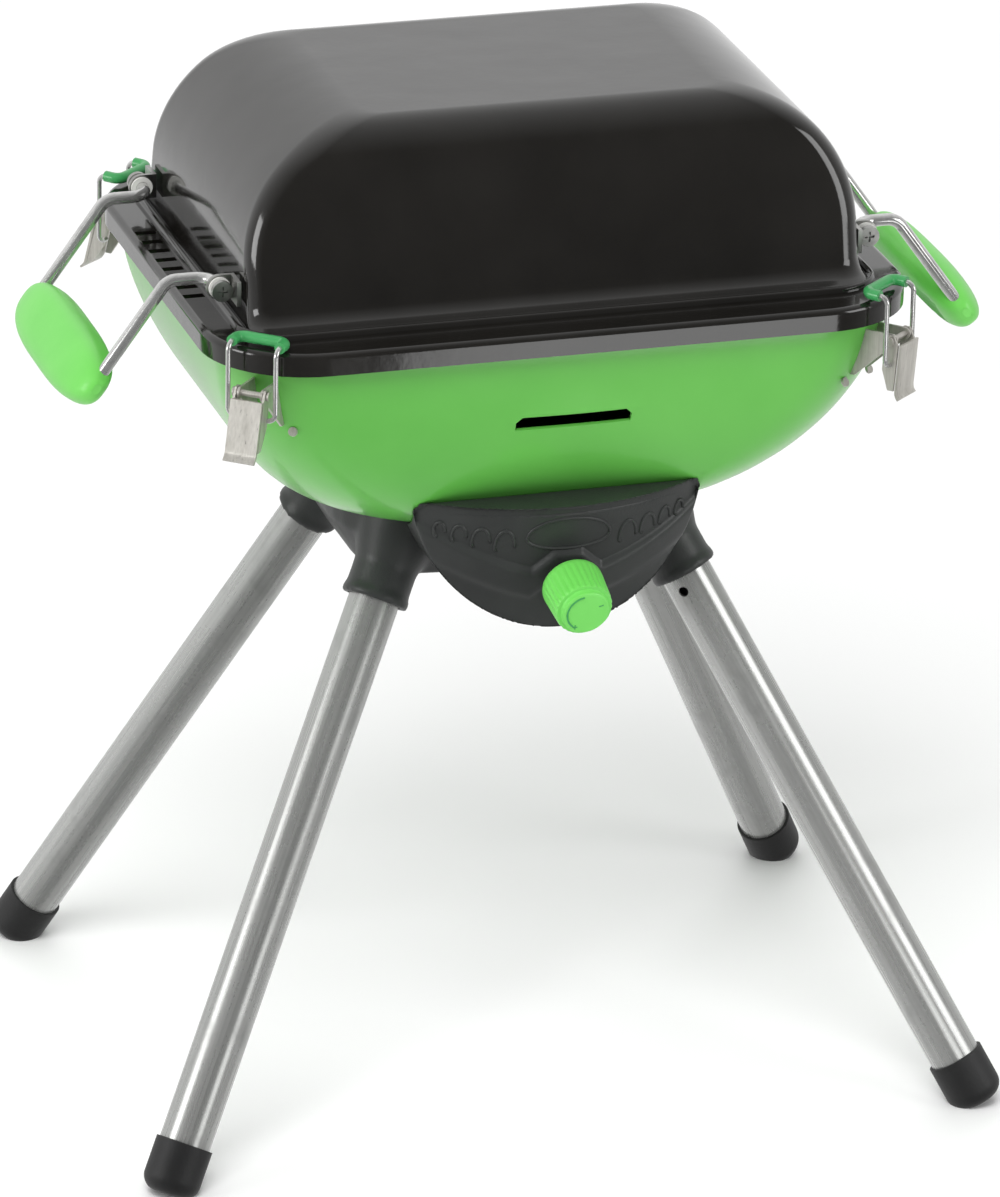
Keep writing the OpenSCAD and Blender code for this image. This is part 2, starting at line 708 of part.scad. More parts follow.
module latch_lever(side) {
    inner = lever_face - lever_t;
    color("#8f8c83") at_corner(side) at_latch() difference() {
        union() {
            translate([inner, -lever_w/2, -lever_l + 6]) cube([lever_t, lever_w, lever_l - 8]);
            translate([inner, 0, -lever_l + 6]) rotate([90, 0, 0]) translate([6 + lever_t, 0, -lever_w/2 - 1])
                rotate([0, 0, 180]) rotate_extrude(angle = 50) translate([6, 0])
                    square([lever_t, lever_w + 2]);
            for (y = [-1, 1]) translate([0, y*(lever_w - lever_t)/2, 0]) rotate([90, 0, 0])
                translate([0, 0, -lever_t/2]) linear_extrude(lever_t) union() {
                    circle(pin_d/2 + 1.6);
                    polygon([[-pin_d/2 - 1.6, 0], [pin_d/2 + 1.6, 0], [lever_face, -4],
                        [lever_face, 6 - lever_l], [1, 6 - lever_l], [-pin_d/2 - 1.6, -throw - 4]]);
                }
        }
        rotate([90, 0, 0]) cylinder(h = 2*lever_w, r = pin_d/2 + fit, center = true);
        translate([0, 0, -throw]) rotate([90, 0, 0])
            cylinder(h = 2*lever_w, r = loop_r + fit, center = true);
    }
}

module latch_loop(side) {
    stub = loop_stub - loop_bend;
    color("#b9b6ac") at_corner(side) at_latch()
        translate([0, -loop_half + loop_stub, -throw]) rotate([0, 0, -90]) bent_wire([[stub, 90, 90], [loop_upward, 90, 90], [loop_inward, -90, 90], [loop_across, 0, 90],
            [loop_inward, 90, 90], [loop_upward, -90, 90], [stub, 0, 0]], loop_r, loop_bend);
}

module loop_sleeve(side) {
    steps = [[loop_inward, -90, 90], [loop_across, 0, 90], [loop_inward, 0, 0]];
    color("#3c9655") at_corner(side) at_latch() translate([-loop_bend, -loop_half, loop_z - latch_z])
        rotate([-90, 0, 180]) difference() {
            bent_wire(steps, sleeve_r, loop_bend);
            bent_wire(steps, loop_r + fit, loop_bend);
        }
}

module lid_shell() {
    inner = lid_loops(lid_wall);
    top = len(inner) - 1;
    color("#232422") skin(concat([for (i = [top:-1:0]) inner[i]], lid_loops(0)));
}

module handle_ears() {
    x = lid_a + flare_x + seat;
    color("#8f918d") for (e = ENDS, y = [-1, 1]) at_end(e) difference() {
        union() {
            translate([x, y*ear_y - (y > 0 ? ear_t/2 : 14 - ear_t/2), pivot_z - 6]) cube([ear_t, 14, 12]);
            translate([x, y*ear_y - ear_t/2, pivot_z - 6]) cube([pivot_x - x, ear_t, 12]);
            translate([pivot_x, y*ear_y + ear_t/2, pivot_z]) rotate([90, 0, 0])
                cylinder(h = ear_t, r = 6);
        }
        translate([pivot_x, y*ear_y + ear_t, pivot_z]) rotate([90, 0, 0])
            cylinder(h = 2*ear_t, r = wire_r + fit);
    }
}

// The handle's wire along its whole run, grown by a distance
module handle_run(grow) {
    turn = wire_bend*tan(arm_angle/2);
    level = arm_level - wire_bend - turn;
    drop = arm_drop - turn - wire_bend;
    stub = ear_y + stub_end - arm_y - wire_bend;
    translate([pivot_x, -ear_y - stub_end, pivot_z]) rotate([0, 0, 90])
        bent_wire([[stub, 180, 90], [level, 90, arm_angle], [drop, 90, 90], [arm_gap - 2*wire_bend, 0, 90],
            [drop, -90, arm_angle], [level, -90, 90], [stub, 0, 0]], wire_r + grow, wire_bend);
}

module handle_wire(end) { color("#c4c5c0") at_end(end) handle_run(0); }

module handle_grip(end) {
    half = grip_l/2;
    color("#82de6e") at_end(end) difference() {
        translate([grip_x, 0, grip_z]) rotate([90, 90 - arm_angle + 90, 0]) hull()
            for (i = [-4:4]) let (s = i/4, k = sqrt(1 - pow(s, 4)*0.65))
                translate([0, 0, half*s - (i > 0 ? eps : 0)])
                    linear_extrude(eps) polygon(rounded(grip_w/2*k, grip_t/2*k, grip_t/2*k*0.8, 6));
        handle_run(fit);
    }
}

module pivot_washers(end) {
    color("#f0f0ec") at_end(end) for (y = [-1, 1], d = [-1, 1])
        translate([pivot_x, y*(ear_y + d*(ear_t/2 + gap + washer_t/2)), pivot_z]) rotate([90, 0, 0])
            difference() {
                cylinder(h = washer_t, r = washer_r, center = true);
                cylinder(h = 2*washer_t, r = wire_r + fit, center = true);
            }
}

module pivot_screws(end) {
    color("#b4b5b0") at_end(end) for (y = [-1, 1]) translate([pivot_x, y*(ear_y + stub_end + seat), pivot_z])
        rotate([-90*y, 0, 0]) difference() {
            cylinder(h = 2.6, r = 5);
            translate([0, 0, 2.6]) for (a = [0, 90]) rotate([0, 0, a]) cube([5, 1.1, 2.4], center = true);
        }
}

module leg_tube(side) {
    color("#a5a7a2") at_corner(side) at_leg() difference() {
        translate([0, 0, gap - socket_depth]) cylinder(h = leg_run + socket_depth - gap, r = leg_r, $fn = 64);
        translate([0, 0, gap - socket_depth - through]) cylinder(h = leg_run + socket_depth + through - 6,
            r = leg_r - leg_wall, $fn = 64);
        translate([0, 0, hole_drop]) rotate([0, 0, side == "front_left" ? -hole_turn : hole_turn])
            rotate([0, 90, 0]) cylinder(h = leg_d, r = hole_r);
    }
}

module leg_foot(side) {
    color("#1d1e1d") at_corner(side) difference() {
        at_leg() difference() {
            translate([0, 0, leg_run - foot_cover]) rotate_extrude($fn = 64) foot_profile();
            translate([0, 0, leg_run - foot_cover - through])
                cylinder(h = foot_cover + through, r = leg_r + fit, $fn = 64);
        }
        translate([-2*rim_w, -2*rim_d, -200]) cube([4*rim_w, 4*rim_d, 200]);
    }
}

// Half section of a rubber foot: a straight collar and a round nose
module foot_profile() {
    nose = foot_floor + foot_r*0.62;
    round = 8;
    intersection() {
        union() {
            square([foot_r, foot_cover + nose - round]);
            square([foot_r - round, foot_cover + nose]);
            translate([foot_r - round, foot_cover + nose - round]) circle(round);
            translate([leg_r, -1]) square([1.2, 2]);
        }
        square([foot_r, foot_cover + nose]);
    }
}

fire_bowl();
rim_frame();
cooking_grate();
heat_deflector();
burner_cap();
burner_tube();
gas_jet();
leg_housing();
control_fascia();
regulator_body();
inlet_seal();
supply_pipe();
gas_valve();
valve_stem();
control_knob();
housing_screws();
latch_rivets();
latch_bracket("front_left");  // latch_bracket_front_left
latch_bracket("front_right");  // latch_bracket_front_right
latch_bracket("back_left");  // latch_bracket_back_left
latch_bracket("back_right");  // latch_bracket_back_right
latch_pin("front_left");  // latch_pin_front_left
latch_pin("front_right");  // latch_pin_front_right
latch_pin("back_left");  // latch_pin_back_left
latch_pin("back_right");  // latch_pin_back_right
latch_lever("front_left");  // latch_lever_front_left
latch_lever("front_right");  // latch_lever_front_right
latch_lever("back_left");  // latch_lever_back_left
latch_lever("back_right");  // latch_lever_back_right
latch_loop("front_left");  // latch_loop_front_left
latch_loop("front_right");  // latch_loop_front_right
latch_loop("back_left");  // latch_loop_back_left
latch_loop("back_right");  // latch_loop_back_right
loop_sleeve("front_left");  // loop_sleeve_front_left
loop_sleeve("front_right");  // loop_sleeve_front_right
loop_sleeve("back_left");  // loop_sleeve_back_left
loop_sleeve("back_right");  // loop_sleeve_back_right
lid_shell();
handle_ears();
handle_wire("left");  // handle_wire_left
handle_wire("right");  // handle_wire_right
handle_grip("left");  // handle_grip_left
handle_grip("right");  // handle_grip_right
pivot_washers("left");  // pivot_washers_left
pivot_washers("right");  // pivot_washers_right
pivot_screws("left");  // pivot_screws_left
pivot_screws("right");  // pivot_screws_right
leg_tube("front_left");  // leg_tube_front_left
leg_tube("front_right");  // leg_tube_front_right
leg_tube("back_left");  // leg_tube_back_left
leg_tube("back_right");  // leg_tube_back_right
leg_foot("front_left");  // leg_foot_front_left
leg_foot("front_right");  // leg_foot_front_right
leg_foot("back_left");  // leg_foot_back_left
leg_foot("back_right");  // leg_foot_back_right
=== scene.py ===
"""Looks of a table-top gas camp grill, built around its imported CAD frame."""

import json
import logging
import math
from dataclasses import dataclass, field
from enum import Enum
from typing import Any, Callable, Iterable, Sequence

import bmesh
import bpy
from mathutils import Matrix, Vector
from mathutils.bvhtree import BVHTree


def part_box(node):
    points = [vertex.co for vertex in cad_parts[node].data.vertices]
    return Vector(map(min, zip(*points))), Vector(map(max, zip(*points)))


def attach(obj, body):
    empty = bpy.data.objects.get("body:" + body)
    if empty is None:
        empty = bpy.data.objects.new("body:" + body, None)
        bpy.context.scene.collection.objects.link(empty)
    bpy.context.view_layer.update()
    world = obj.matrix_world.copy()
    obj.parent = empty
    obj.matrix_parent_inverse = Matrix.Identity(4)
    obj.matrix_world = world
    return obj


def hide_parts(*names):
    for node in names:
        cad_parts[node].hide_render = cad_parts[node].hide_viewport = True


LOG = logging.getLogger("camp_grill")
MM = 0.001
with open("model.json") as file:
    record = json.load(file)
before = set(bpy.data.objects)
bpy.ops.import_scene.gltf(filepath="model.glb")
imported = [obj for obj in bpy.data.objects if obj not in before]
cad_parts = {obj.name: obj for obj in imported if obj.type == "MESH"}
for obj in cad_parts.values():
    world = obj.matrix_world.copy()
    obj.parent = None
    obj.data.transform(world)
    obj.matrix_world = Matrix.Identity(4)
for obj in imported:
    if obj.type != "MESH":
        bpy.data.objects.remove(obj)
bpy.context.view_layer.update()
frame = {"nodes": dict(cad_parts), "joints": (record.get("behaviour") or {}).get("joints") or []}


# ---------------------------------------------------------------- shaders


class Value:
    """A number in a material, so that shader maths reads as Python."""

    def __init__(self, recipe: "Recipe", socket: Any) -> None:
        """Wraps an output socket of a recipe."""
        self.recipe = recipe
        self.socket = socket

    def _math(self, operation: str, first: Any, second: Any) -> "Value":
        """Adds a Math node for one operation on two values."""
        return self.recipe.node("ShaderNodeMath", {"operation": operation}, {0: first, 1: second})

    def __add__(self, other: Any) -> "Value":
        """Sum."""
        return self._math("ADD", self, other)

    __radd__ = __add__

    def __mul__(self, other: Any) -> "Value":
        """Product."""
        return self._math("MULTIPLY", self, other)

    __rmul__ = __mul__

    def __sub__(self, other: Any) -> "Value":
        """Difference."""
        return self._math("SUBTRACT", self, other)

    def __rsub__(self, other: Any) -> "Value":
        """Reflected difference."""
        return self._math("SUBTRACT", other, self)

    def __pow__(self, other: Any) -> "Value":
        """Power."""
        return self._math("POWER", self, other)

    def over(self, low: float, high: float) -> "Value":
        """This value spread over a range and held inside 0 to 1.

        Args:
            low: The value that becomes 0.
            high: The value that becomes 1.

        Returns:
            The spread value.
        """
        settings = {"clamp": True}
        return self.recipe.node("ShaderNodeMapRange", settings, {0: self, 1: low, 2: high, 3: 0.0, 4: 1.0})


class Recipe:
    """One node material with a Principled surface."""

    def __init__(self, name: str) -> None:
        """Starts an empty material with its surface and output."""
        self.material = bpy.data.materials.new(name)
        self.material.use_nodes = True
        self.tree = self.material.node_tree
        self.tree.nodes.clear()
        self.surface = self.tree.nodes.new("ShaderNodeBsdfPrincipled")
        output = self.tree.nodes.new("ShaderNodeOutputMaterial")
        self.tree.links.new(self.surface.outputs[0], output.inputs[0])

    def plug(self, socket: Any, value: Any) -> None:
        """Sets an input socket to a number, a colour or another node's value."""
        if isinstance(value, Value):
            self.tree.links.new(value.socket, socket)
        elif isinstance(value, (tuple, list)) and len(value) == 3 and len(socket.default_value) == 4:
            socket.default_value = (*value, 1.0)
        else:
            socket.default_value = value

    def node(self, kind: str, settings: dict[str, Any], inputs: dict[Any, Any], out: Any = 0) -> Value:
        """Adds any node.

        Args:
            kind: The node's type.
            settings: Its properties, set first; "stops" is a colour ramp's list.
            inputs: Values or links by socket name or number.
            out: The output that is wanted.

        Returns:
            That output as a value.
        """
        made = self.tree.nodes.new(kind)
        for key, value in settings.items():
            if key == "stops":
                ramp = made.color_ramp.elements
                while len(ramp) < len(value):
                    ramp.new(0.5)
                for element, (place, colour) in zip(ramp, value):
                    element.position = place
                    element.color = (*colour, 1.0)
            else:
                setattr(made, key, value)
        for key, value in inputs.items():
            self.plug(made.inputs[key], value)
        return Value(self, made.outputs[out])

    def place(self, turn: Sequence[float] = (0, 0, 0), stretch: Sequence[float] = (1, 1, 1)) -> Value:
        """Coordinates of a pattern that stands turned and stretched on the piece.

        Args:
            turn: Euler angles of the pattern, in radians.
            stretch: How long the pattern is drawn on each of its own axes.

        Returns:
            The coordinates.
        """
        here = self.node("ShaderNodeTexCoord", {}, {}, "Object")
        inputs = {"Vector": here, "Rotation": turn, "Scale": stretch}
        return self.node("ShaderNodeMapping", {"vector_type": "TEXTURE"}, inputs)

    def noise(self, where: Value, scale: float, detail: float = 3.0, rough: float = 0.55) -> Value:
        """Fractal noise at a scale in cycles per metre."""
        inputs = {"Vector": where, "Scale": scale, "Detail": detail, "Roughness": rough}
        return self.node("ShaderNodeTexNoise", {}, inputs, 0)

    def cells(self, where: Value, scale: float, feature: str = "F1") -> Value:
        """Distance to the nearest cell centre or edge."""
        return self.node("ShaderNodeTexVoronoi", {"feature": feature}, {"Vector": where, "Scale": scale},
                         "Distance")

    def blend(self, share: Any, first: Any, second: Any) -> Value:
        """Mixes two colours by a share."""
        return self.node("ShaderNodeMix", {"data_type": "RGBA"}, {0: share, 6: first, 7: second}, 2)

    def bump(self, height: Value, depth: float, under: Value | None = None) -> Value:
        """A bump from a height.

        Args:
            height: Height from 0 to 1.
            depth: The height of 1, in metres.
            under: A bump that this one lies on.

        Returns:
            The normal.
        """
        inputs: dict[Any, Any] = {"Height": height, "Strength": 1.0, "Distance": depth}
        if under is not None:
            inputs["Normal"] = under
        return self.node("ShaderNodeBump", {}, inputs)

    def set(self, **inputs: Any) -> None:
        """Sets the surface's sockets; an underscore in a name stands for a space."""
        for key, value in inputs.items():
            self.plug(self.surface.inputs[key.replace("_", " ")], value)


@dataclass(frozen=True)
class Enamel:
    """Glossy fired enamel with a fine orange peel."""

    name: str = "black_enamel"
    deep: tuple[float, float, float] = (0.0075, 0.0068, 0.0058)
    light: tuple[float, float, float] = (0.0125, 0.0115, 0.0100)
    peel: float = 260.0

    def make(self) -> bpy.types.Material:
        """Builds the material."""
        r = Recipe(self.name)
        here = r.place()
        cloud = r.noise(here, 14.0, 4.0)
        speck = r.cells(here, 900.0).over(0.05, 0.0)
        pores = r.noise(here, self.peel, 2.0)
        tone = r.blend(cloud.over(0.35, 0.7), self.deep, self.light)
        tone = r.blend(speck * 0.25, tone, (0.05, 0.05, 0.045))
        r.set(Base_Color=tone, Roughness=0.09 + cloud * 0.07 + speck * 0.2, Coat_Weight=0.35 + cloud * 0.1)
        r.set(Coat_Roughness=0.04, IOR=1.52)
        wide = r.bump(r.noise(here, 38.0, 1.0), 0.00022)
        r.set(Normal=r.bump(pores, 0.000035, wide))
        return r.material


@dataclass(frozen=True)
class Paint:
    """Smooth sprayed paint with a slight peel and dust in it."""

    name: str = "green_paint"
    deep: tuple[float, float, float] = (0.100, 0.425, 0.055)
    light: tuple[float, float, float] = (0.130, 0.490, 0.075)

    def make(self) -> bpy.types.Material:
        """Builds the material."""
        r = Recipe(self.name)
        here = r.place()
        cloud = r.noise(here, 9.0, 4.0)
        dust = r.cells(here, 420.0).over(0.06, 0.0)
        tone = r.blend(cloud.over(0.3, 0.7), self.deep, self.light)
        tone = r.blend(dust * 0.35, tone, (0.30, 0.62, 0.22))
        r.set(Base_Color=tone, Roughness=0.30 + cloud * 0.10 + dust * 0.1, Coat_Weight=0.45 + cloud * 0.1)
        r.set(Coat_Roughness=0.12, IOR=1.5)
        r.set(Normal=r.bump(r.noise(here, 330.0, 2.0), 0.00003, r.bump(r.noise(here, 30.0, 1.0), 0.00018)))
        return r.material


@dataclass(frozen=True)
class Metal:
    """Metal with a drawn or brushed grain along one direction, stains and fine pits."""

    name: str
    deep: tuple[float, float, float]
    light: tuple[float, float, float]
    rough: float
    spread: float
    grain: float = 900.0
    stretch: float = 30.0
    depth: float = 0.00001
    along: Vector = field(default_factory=lambda: Vector((0, 0, 1)))
    metal: float = 1.0

    def make(self) -> bpy.types.Material:
        """Builds the material."""
        r = Recipe(self.name)
        turn = Vector((0, 0, 1)).rotation_difference(self.along).to_euler()
        drawn = r.place(tuple(turn), (1.0, 1.0, self.stretch))
        here = r.place()
        lines = r.noise(drawn, self.grain, 3.0, 0.6)
        broad = r.noise(drawn, self.grain * 0.16, 3.0, 0.6)
        stain = r.noise(here, 45.0, 5.0, 0.6)
        pits = r.cells(here, 1400.0).over(0.10, 0.0)
        tone = r.blend((broad * 0.6 + lines * 0.4).over(0.3, 0.7), self.deep, self.light)
        tone = r.blend(stain.over(0.58, 0.8) * 0.35 + pits * 0.2, tone, tuple(0.55 * c for c in self.deep))
        r.set(Base_Color=tone, Metallic=self.metal)
        r.set(Roughness=self.rough + (lines - 0.5) * self.spread + stain.over(0.5, 0.85) * 0.10)
        r.set(Normal=r.bump(lines + pits * -0.6, self.depth))
        return r.material


@dataclass(frozen=True)
class Plastic:
    """Moulded plastic with a spark-eroded grain."""

    name: str
    deep: tuple[float, float, float]
    light: tuple[float, float, float]
    rough: float
    grain: float = 700.0
    depth: float = 0.00004
    coat: float = 0.0
    gloss: float = 0.5

    def make(self) -> bpy.types.Material:
        """Builds the material."""
        r = Recipe(self.name)
        here = r.place()
        cloud = r.noise(here, 22.0, 4.0)
        leather = r.cells(here, self.grain)
        fine = r.noise(here, self.grain * 2.2, 2.0)
        scuff = r.noise(r.place((0.4, 0.2, 0.7), (1.0, 12.0, 1.0)), 260.0, 3.0).over(0.66, 0.8)
        tone = r.blend(cloud.over(0.3, 0.72), self.deep, self.light)
        tone = r.blend(scuff * 0.18, tone, tuple(min(1.0, 1.35 * c + 0.015) for c in self.light))
        r.set(Base_Color=tone, Roughness=self.rough + (fine - 0.5) * 0.12 + scuff * 0.08, Coat_Weight=self.coat)
        r.set(Specular_IOR_Level=self.gloss)
        r.set(Normal=r.bump(leather * 0.7 + fine * 0.3, self.depth))
        return r.material


class Finish(Enum):
    """Every finish on the grill, by its material name."""

    ENAMEL = "black_enamel"
    PAINT = "green_paint"
    HOUSING = "black_plastic"
    GRIP = "grip_plastic"
    KNOB = "green_plastic"
    SLEEVE = "green_sleeve"
    RUBBER = "black_rubber"
    NYLON = "white_nylon"
    CHROME = "chrome_wire"
    NICKEL = "nickel_plate"
    ZINC = "zinc_plate"
    CAST = "cast_zinc"
    STEEL = "bare_steel"
    WIRE = "plated_wire"
    TUBE = "leg_steel"
    BRASS = "brass"
    COPPER = "copper_pipe"


class Paintbox:
    """Makes each finish once and hands it out."""

    def __init__(self) -> None:
        """Lists how each finish is made."""
        self.made: dict[str, bpy.types.Material] = {}
        self.kinds: dict[Finish, Any] = {
            Finish.ENAMEL: Enamel(),
            Finish.PAINT: Paint(),
            Finish.HOUSING: Plastic("black_plastic", (0.025, 0.027, 0.026), (0.036, 0.039, 0.0375),
                                    0.42, 850.0, 0.00005),
            Finish.GRIP: Plastic("grip_plastic", (0.140, 0.560, 0.085), (0.175, 0.620, 0.110),
                                 0.40, 900.0, 0.00002, 0.1),
            Finish.KNOB: Plastic("green_plastic", (0.150, 0.620, 0.095), (0.190, 0.690, 0.125),
                                 0.38, 900.0, 0.00002, 0.1),
            Finish.SLEEVE: Plastic("green_sleeve", (0.035, 0.270, 0.075), (0.060, 0.360, 0.110),
                                   0.30, 600.0, 0.00003, 0.3),
            Finish.RUBBER: Plastic("black_rubber", (0.009, 0.009, 0.0095), (0.017, 0.017, 0.017),
                                   0.55, 500.0, 0.00008),
            Finish.NYLON: Plastic("white_nylon", (0.70, 0.70, 0.66), (0.80, 0.80, 0.77), 0.42, 600.0, 0.00002),
            Finish.CHROME: Metal("chrome_wire", (0.55, 0.55, 0.54), (0.80, 0.80, 0.79),
                                 0.12, 0.06, 700.0, 5.0, 0.000006, metal=0.82),
            Finish.NICKEL: Metal("nickel_plate", (0.40, 0.385, 0.345), (0.70, 0.68, 0.63),
                                 0.30, 0.14, 1100.0, 20.0, metal=0.62),
            Finish.ZINC: Metal("zinc_plate", (0.34, 0.34, 0.33), (0.52, 0.52, 0.50), 0.32, 0.12, 800.0, 3.0),
            Finish.CAST: Metal("cast_zinc", (0.30, 0.30, 0.30), (0.42, 0.42, 0.41),
                               0.48, 0.10, 600.0, 1.2, 0.00003),
            Finish.STEEL: Metal("bare_steel", (0.30, 0.29, 0.27), (0.46, 0.45, 0.43), 0.40, 0.16, 900.0, 16.0),
            Finish.WIRE: Metal("plated_wire", (0.48, 0.48, 0.46), (0.62, 0.62, 0.60), 0.24, 0.10, 800.0, 5.0),
            Finish.BRASS: Metal("brass", (0.45, 0.29, 0.10), (0.66, 0.46, 0.19), 0.30, 0.12, 800.0, 5.0),
            Finish.COPPER: Metal("copper_pipe", (0.45, 0.19, 0.09), (0.66, 0.32, 0.18), 0.28, 0.12, 800.0, 5.0),
        }

    def get(self, finish: Finish) -> bpy.types.Material:
        """The material of a finish."""
        if finish.value not in self.made:
            self.made[finish.value] = self.kinds[finish].make()
        return self.made[finish.value]

    def tube(self, name: str, along: Vector) -> bpy.types.Material:
        """Drawn tube steel whose streaks run along a direction."""
        key = f"leg_steel_{name}"
        if key not in self.made:
            finish = Metal(key, (0.30, 0.305, 0.295), (0.62, 0.625, 0.61), 0.27, 0.12, 420.0, 90.0, 0.000012,
                           along, 0.68)
            self.made[key] = finish.make()
        return self.made[key]


PAINTBOX = Paintbox()


# ---------------------------------------------------------------- meshes


class Blank:
    """A mesh being worked with bmesh operators, which becomes one piece."""

    def __init__(self, name: str) -> None:
        """Starts an empty mesh."""
        self.name = name
        self.bm = bmesh.new()

    def outline(self, a: float, b: float, r: float, z: float, steps: int = 8) -> "Ring":
        """Draws a level rounded rectangle.

        Args:
            a: Half length.
            b: Half depth.
            r: Corner radius.
            z: Height.
            steps: Edges in each corner.

        Returns:
            The ring of its edges.
        """
        bm = self.bm
        made = bmesh.ops.create_grid(bm, x_segments=1, y_segments=1, size=1.0)["verts"]
        bmesh.ops.scale(bm, vec=(a, b, 1.0), verts=made)
        bmesh.ops.translate(bm, vec=(0, 0, z), verts=made)
        face = made[0].link_faces[0]
        bmesh.ops.bevel(bm, geom=made, offset=r, offset_type="OFFSET", segments=steps, profile=0.5,
                        affect="VERTICES", material=-1)
        face = next(f for f in bm.faces
                    if len(f.verts) == 4 * (steps + 1) and all(abs(v.co.z - z) < 1e-7 for v in f.verts))
        ring = Ring(self, list(face.edges), a, b, r)
        bmesh.ops.delete(bm, geom=[face], context="FACES_ONLY")
        ring.to(a, b, r, z, extrude=False)
        return ring

    def turned(self, profile: Sequence[tuple[float, float]], at: Matrix,
               steps: int = 48) -> list[bmesh.types.BMVert]:
        """Spins a half section of (radius, height) points about a piece's own Z.

        Args:
            profile: The section's points in order.
            at: Where the piece's own frame stands.
            steps: Steps in the full turn.

        Returns:
            The new vertices.
        """
        bm = self.bm
        before = set(bm.verts)
        chain = [bm.verts.new((r, 0.0, z)) for r, z in profile]
        edges = [bm.edges.new(pair) for pair in zip(chain, chain[1:])]
        bmesh.ops.spin(bm, geom=chain + edges, cent=(0, 0, 0), axis=(0, 0, 1), angle=2 * math.pi, steps=steps,
                       use_merge=True, use_duplicate=False)
        new = [v for v in bm.verts if v not in before]
        bmesh.ops.remove_doubles(bm, verts=new, dist=1e-6)
        new = [v for v in bm.verts if v not in before]
        bmesh.ops.transform(bm, matrix=at, verts=new)
        return new

    def swept(self, path: Sequence[Vector], radius: float | Sequence[float],
              sides: int = 16) -> list[bmesh.types.BMVert]:
        """Runs a round section along a path and caps both ends.

        Args:
            path: The middle line's points.
            radius: One radius, or one for each point.
            sides: Sides of the section.

        Returns:
            The new vertices.
        """
        bm = self.bm
        radii = [radius] * len(path) if isinstance(radius, (int, float)) else list(radius)
        before = set(bm.verts)
        last = len(path) - 1
        tangents = [(path[min(i + 1, last)] - path[max(i - 1, 0)]).normalized() for i in range(last + 1)]
        turn = Vector((0, 0, 1)).rotation_difference(tangents[0]).to_matrix()
        start = Matrix.Translation(path[0]) @ turn.to_4x4()
        ring = set(bmesh.ops.create_circle(bm, cap_ends=False, radius=radii[0], segments=sides,
                                           matrix=start)["verts"])
        edges = [e for e in bm.edges if e.verts[0] in ring and e.verts[1] in ring]
        bmesh.ops.edgeloop_fill(bm, edges=edges)
        for i in range(1, len(path)):
            step = tangents[i - 1].rotation_difference(tangents[i]).to_matrix().to_4x4()
            grow = Matrix.Scale(radii[i] / radii[i - 1], 4)
            move = Matrix.Translation(path[i]) @ step @ grow @ Matrix.Translation(-path[i - 1])
            out = bmesh.ops.extrude_edge_only(bm, edges=edges)["geom"]
            bmesh.ops.transform(bm, matrix=move, verts=[g for g in out if isinstance(g, bmesh.types.BMVert)])
            edges = [g for g in out if isinstance(g, bmesh.types.BMEdge)]
        bmesh.ops.edgeloop_fill(bm, edges=edges)
        return [v for v in bm.verts if v not in before]

    def brick(self, size: Vector, at: Matrix, edge: float, steps: int = 3) -> list[bmesh.types.BMVert]:
        """A block with rounded edges.

        Args:
            size: Full size on each axis.
            at: Where its middle stands.
            edge: Radius of its edges.
            steps: Edges across each rounding.

        Returns:
            The new vertices.
        """
        bm = self.bm
        before = set(bm.verts)
        made = bmesh.ops.create_cube(bm, size=1.0)["verts"]
        bmesh.ops.scale(bm, vec=size, verts=made)
        edges = list({e for v in made for e in v.link_edges})
        bmesh.ops.bevel(bm, geom=edges, offset=edge, offset_type="OFFSET", segments=steps, profile=0.5,
                        affect="EDGES", material=-1)
        new = [v for v in bm.verts if v not in before]
        bmesh.ops.transform(bm, matrix=at, verts=new)
        return new

    def window(self, planes: Sequence[tuple[Vector, Vector]], reach: Callable[[Vector], bool]) -> None:
        """Cuts a window bounded by planes.

        Args:
            planes: A point and an outward normal for each side of the window.
            reach: Tells whether a face centre is in the part of the mesh to cut.
        """
        bm = self.bm
        for point, normal in planes:
            faces = [f for f in bm.faces if reach(f.calc_center_median())]
            geom = list({e for f in faces for e in f.edges} | {v for f in faces for v in f.verts}) + faces
            bmesh.ops.bisect_plane(bm, geom=geom, dist=1e-7, plane_co=point, plane_no=normal)
        inside = [
            f for f in bm.faces if reach(f.calc_center_median())
            and all((f.calc_center_median() - p).dot(n) < 0 for p, n in planes)
        ]
        bmesh.ops.delete(bm, geom=inside, context="FACES")

    def thicken(self, wall: float) -> None:
        """Merges doubles, turns faces outward and gives the skin a wall on its inner side."""
        bm = self.bm
        bmesh.ops.remove_doubles(bm, verts=bm.verts, dist=1e-6)
        bmesh.ops.recalc_face_normals(bm, faces=bm.faces)
        bmesh.ops.solidify(bm, geom=bm.faces[:], thickness=wall)

    def closed(self) -> "Blank":
        """Merges doubles and turns the closed mesh's faces outward."""
        bmesh.ops.remove_doubles(self.bm, verts=self.bm.verts, dist=1e-6)
        bmesh.ops.recalc_face_normals(self.bm, faces=self.bm.faces)
        return self

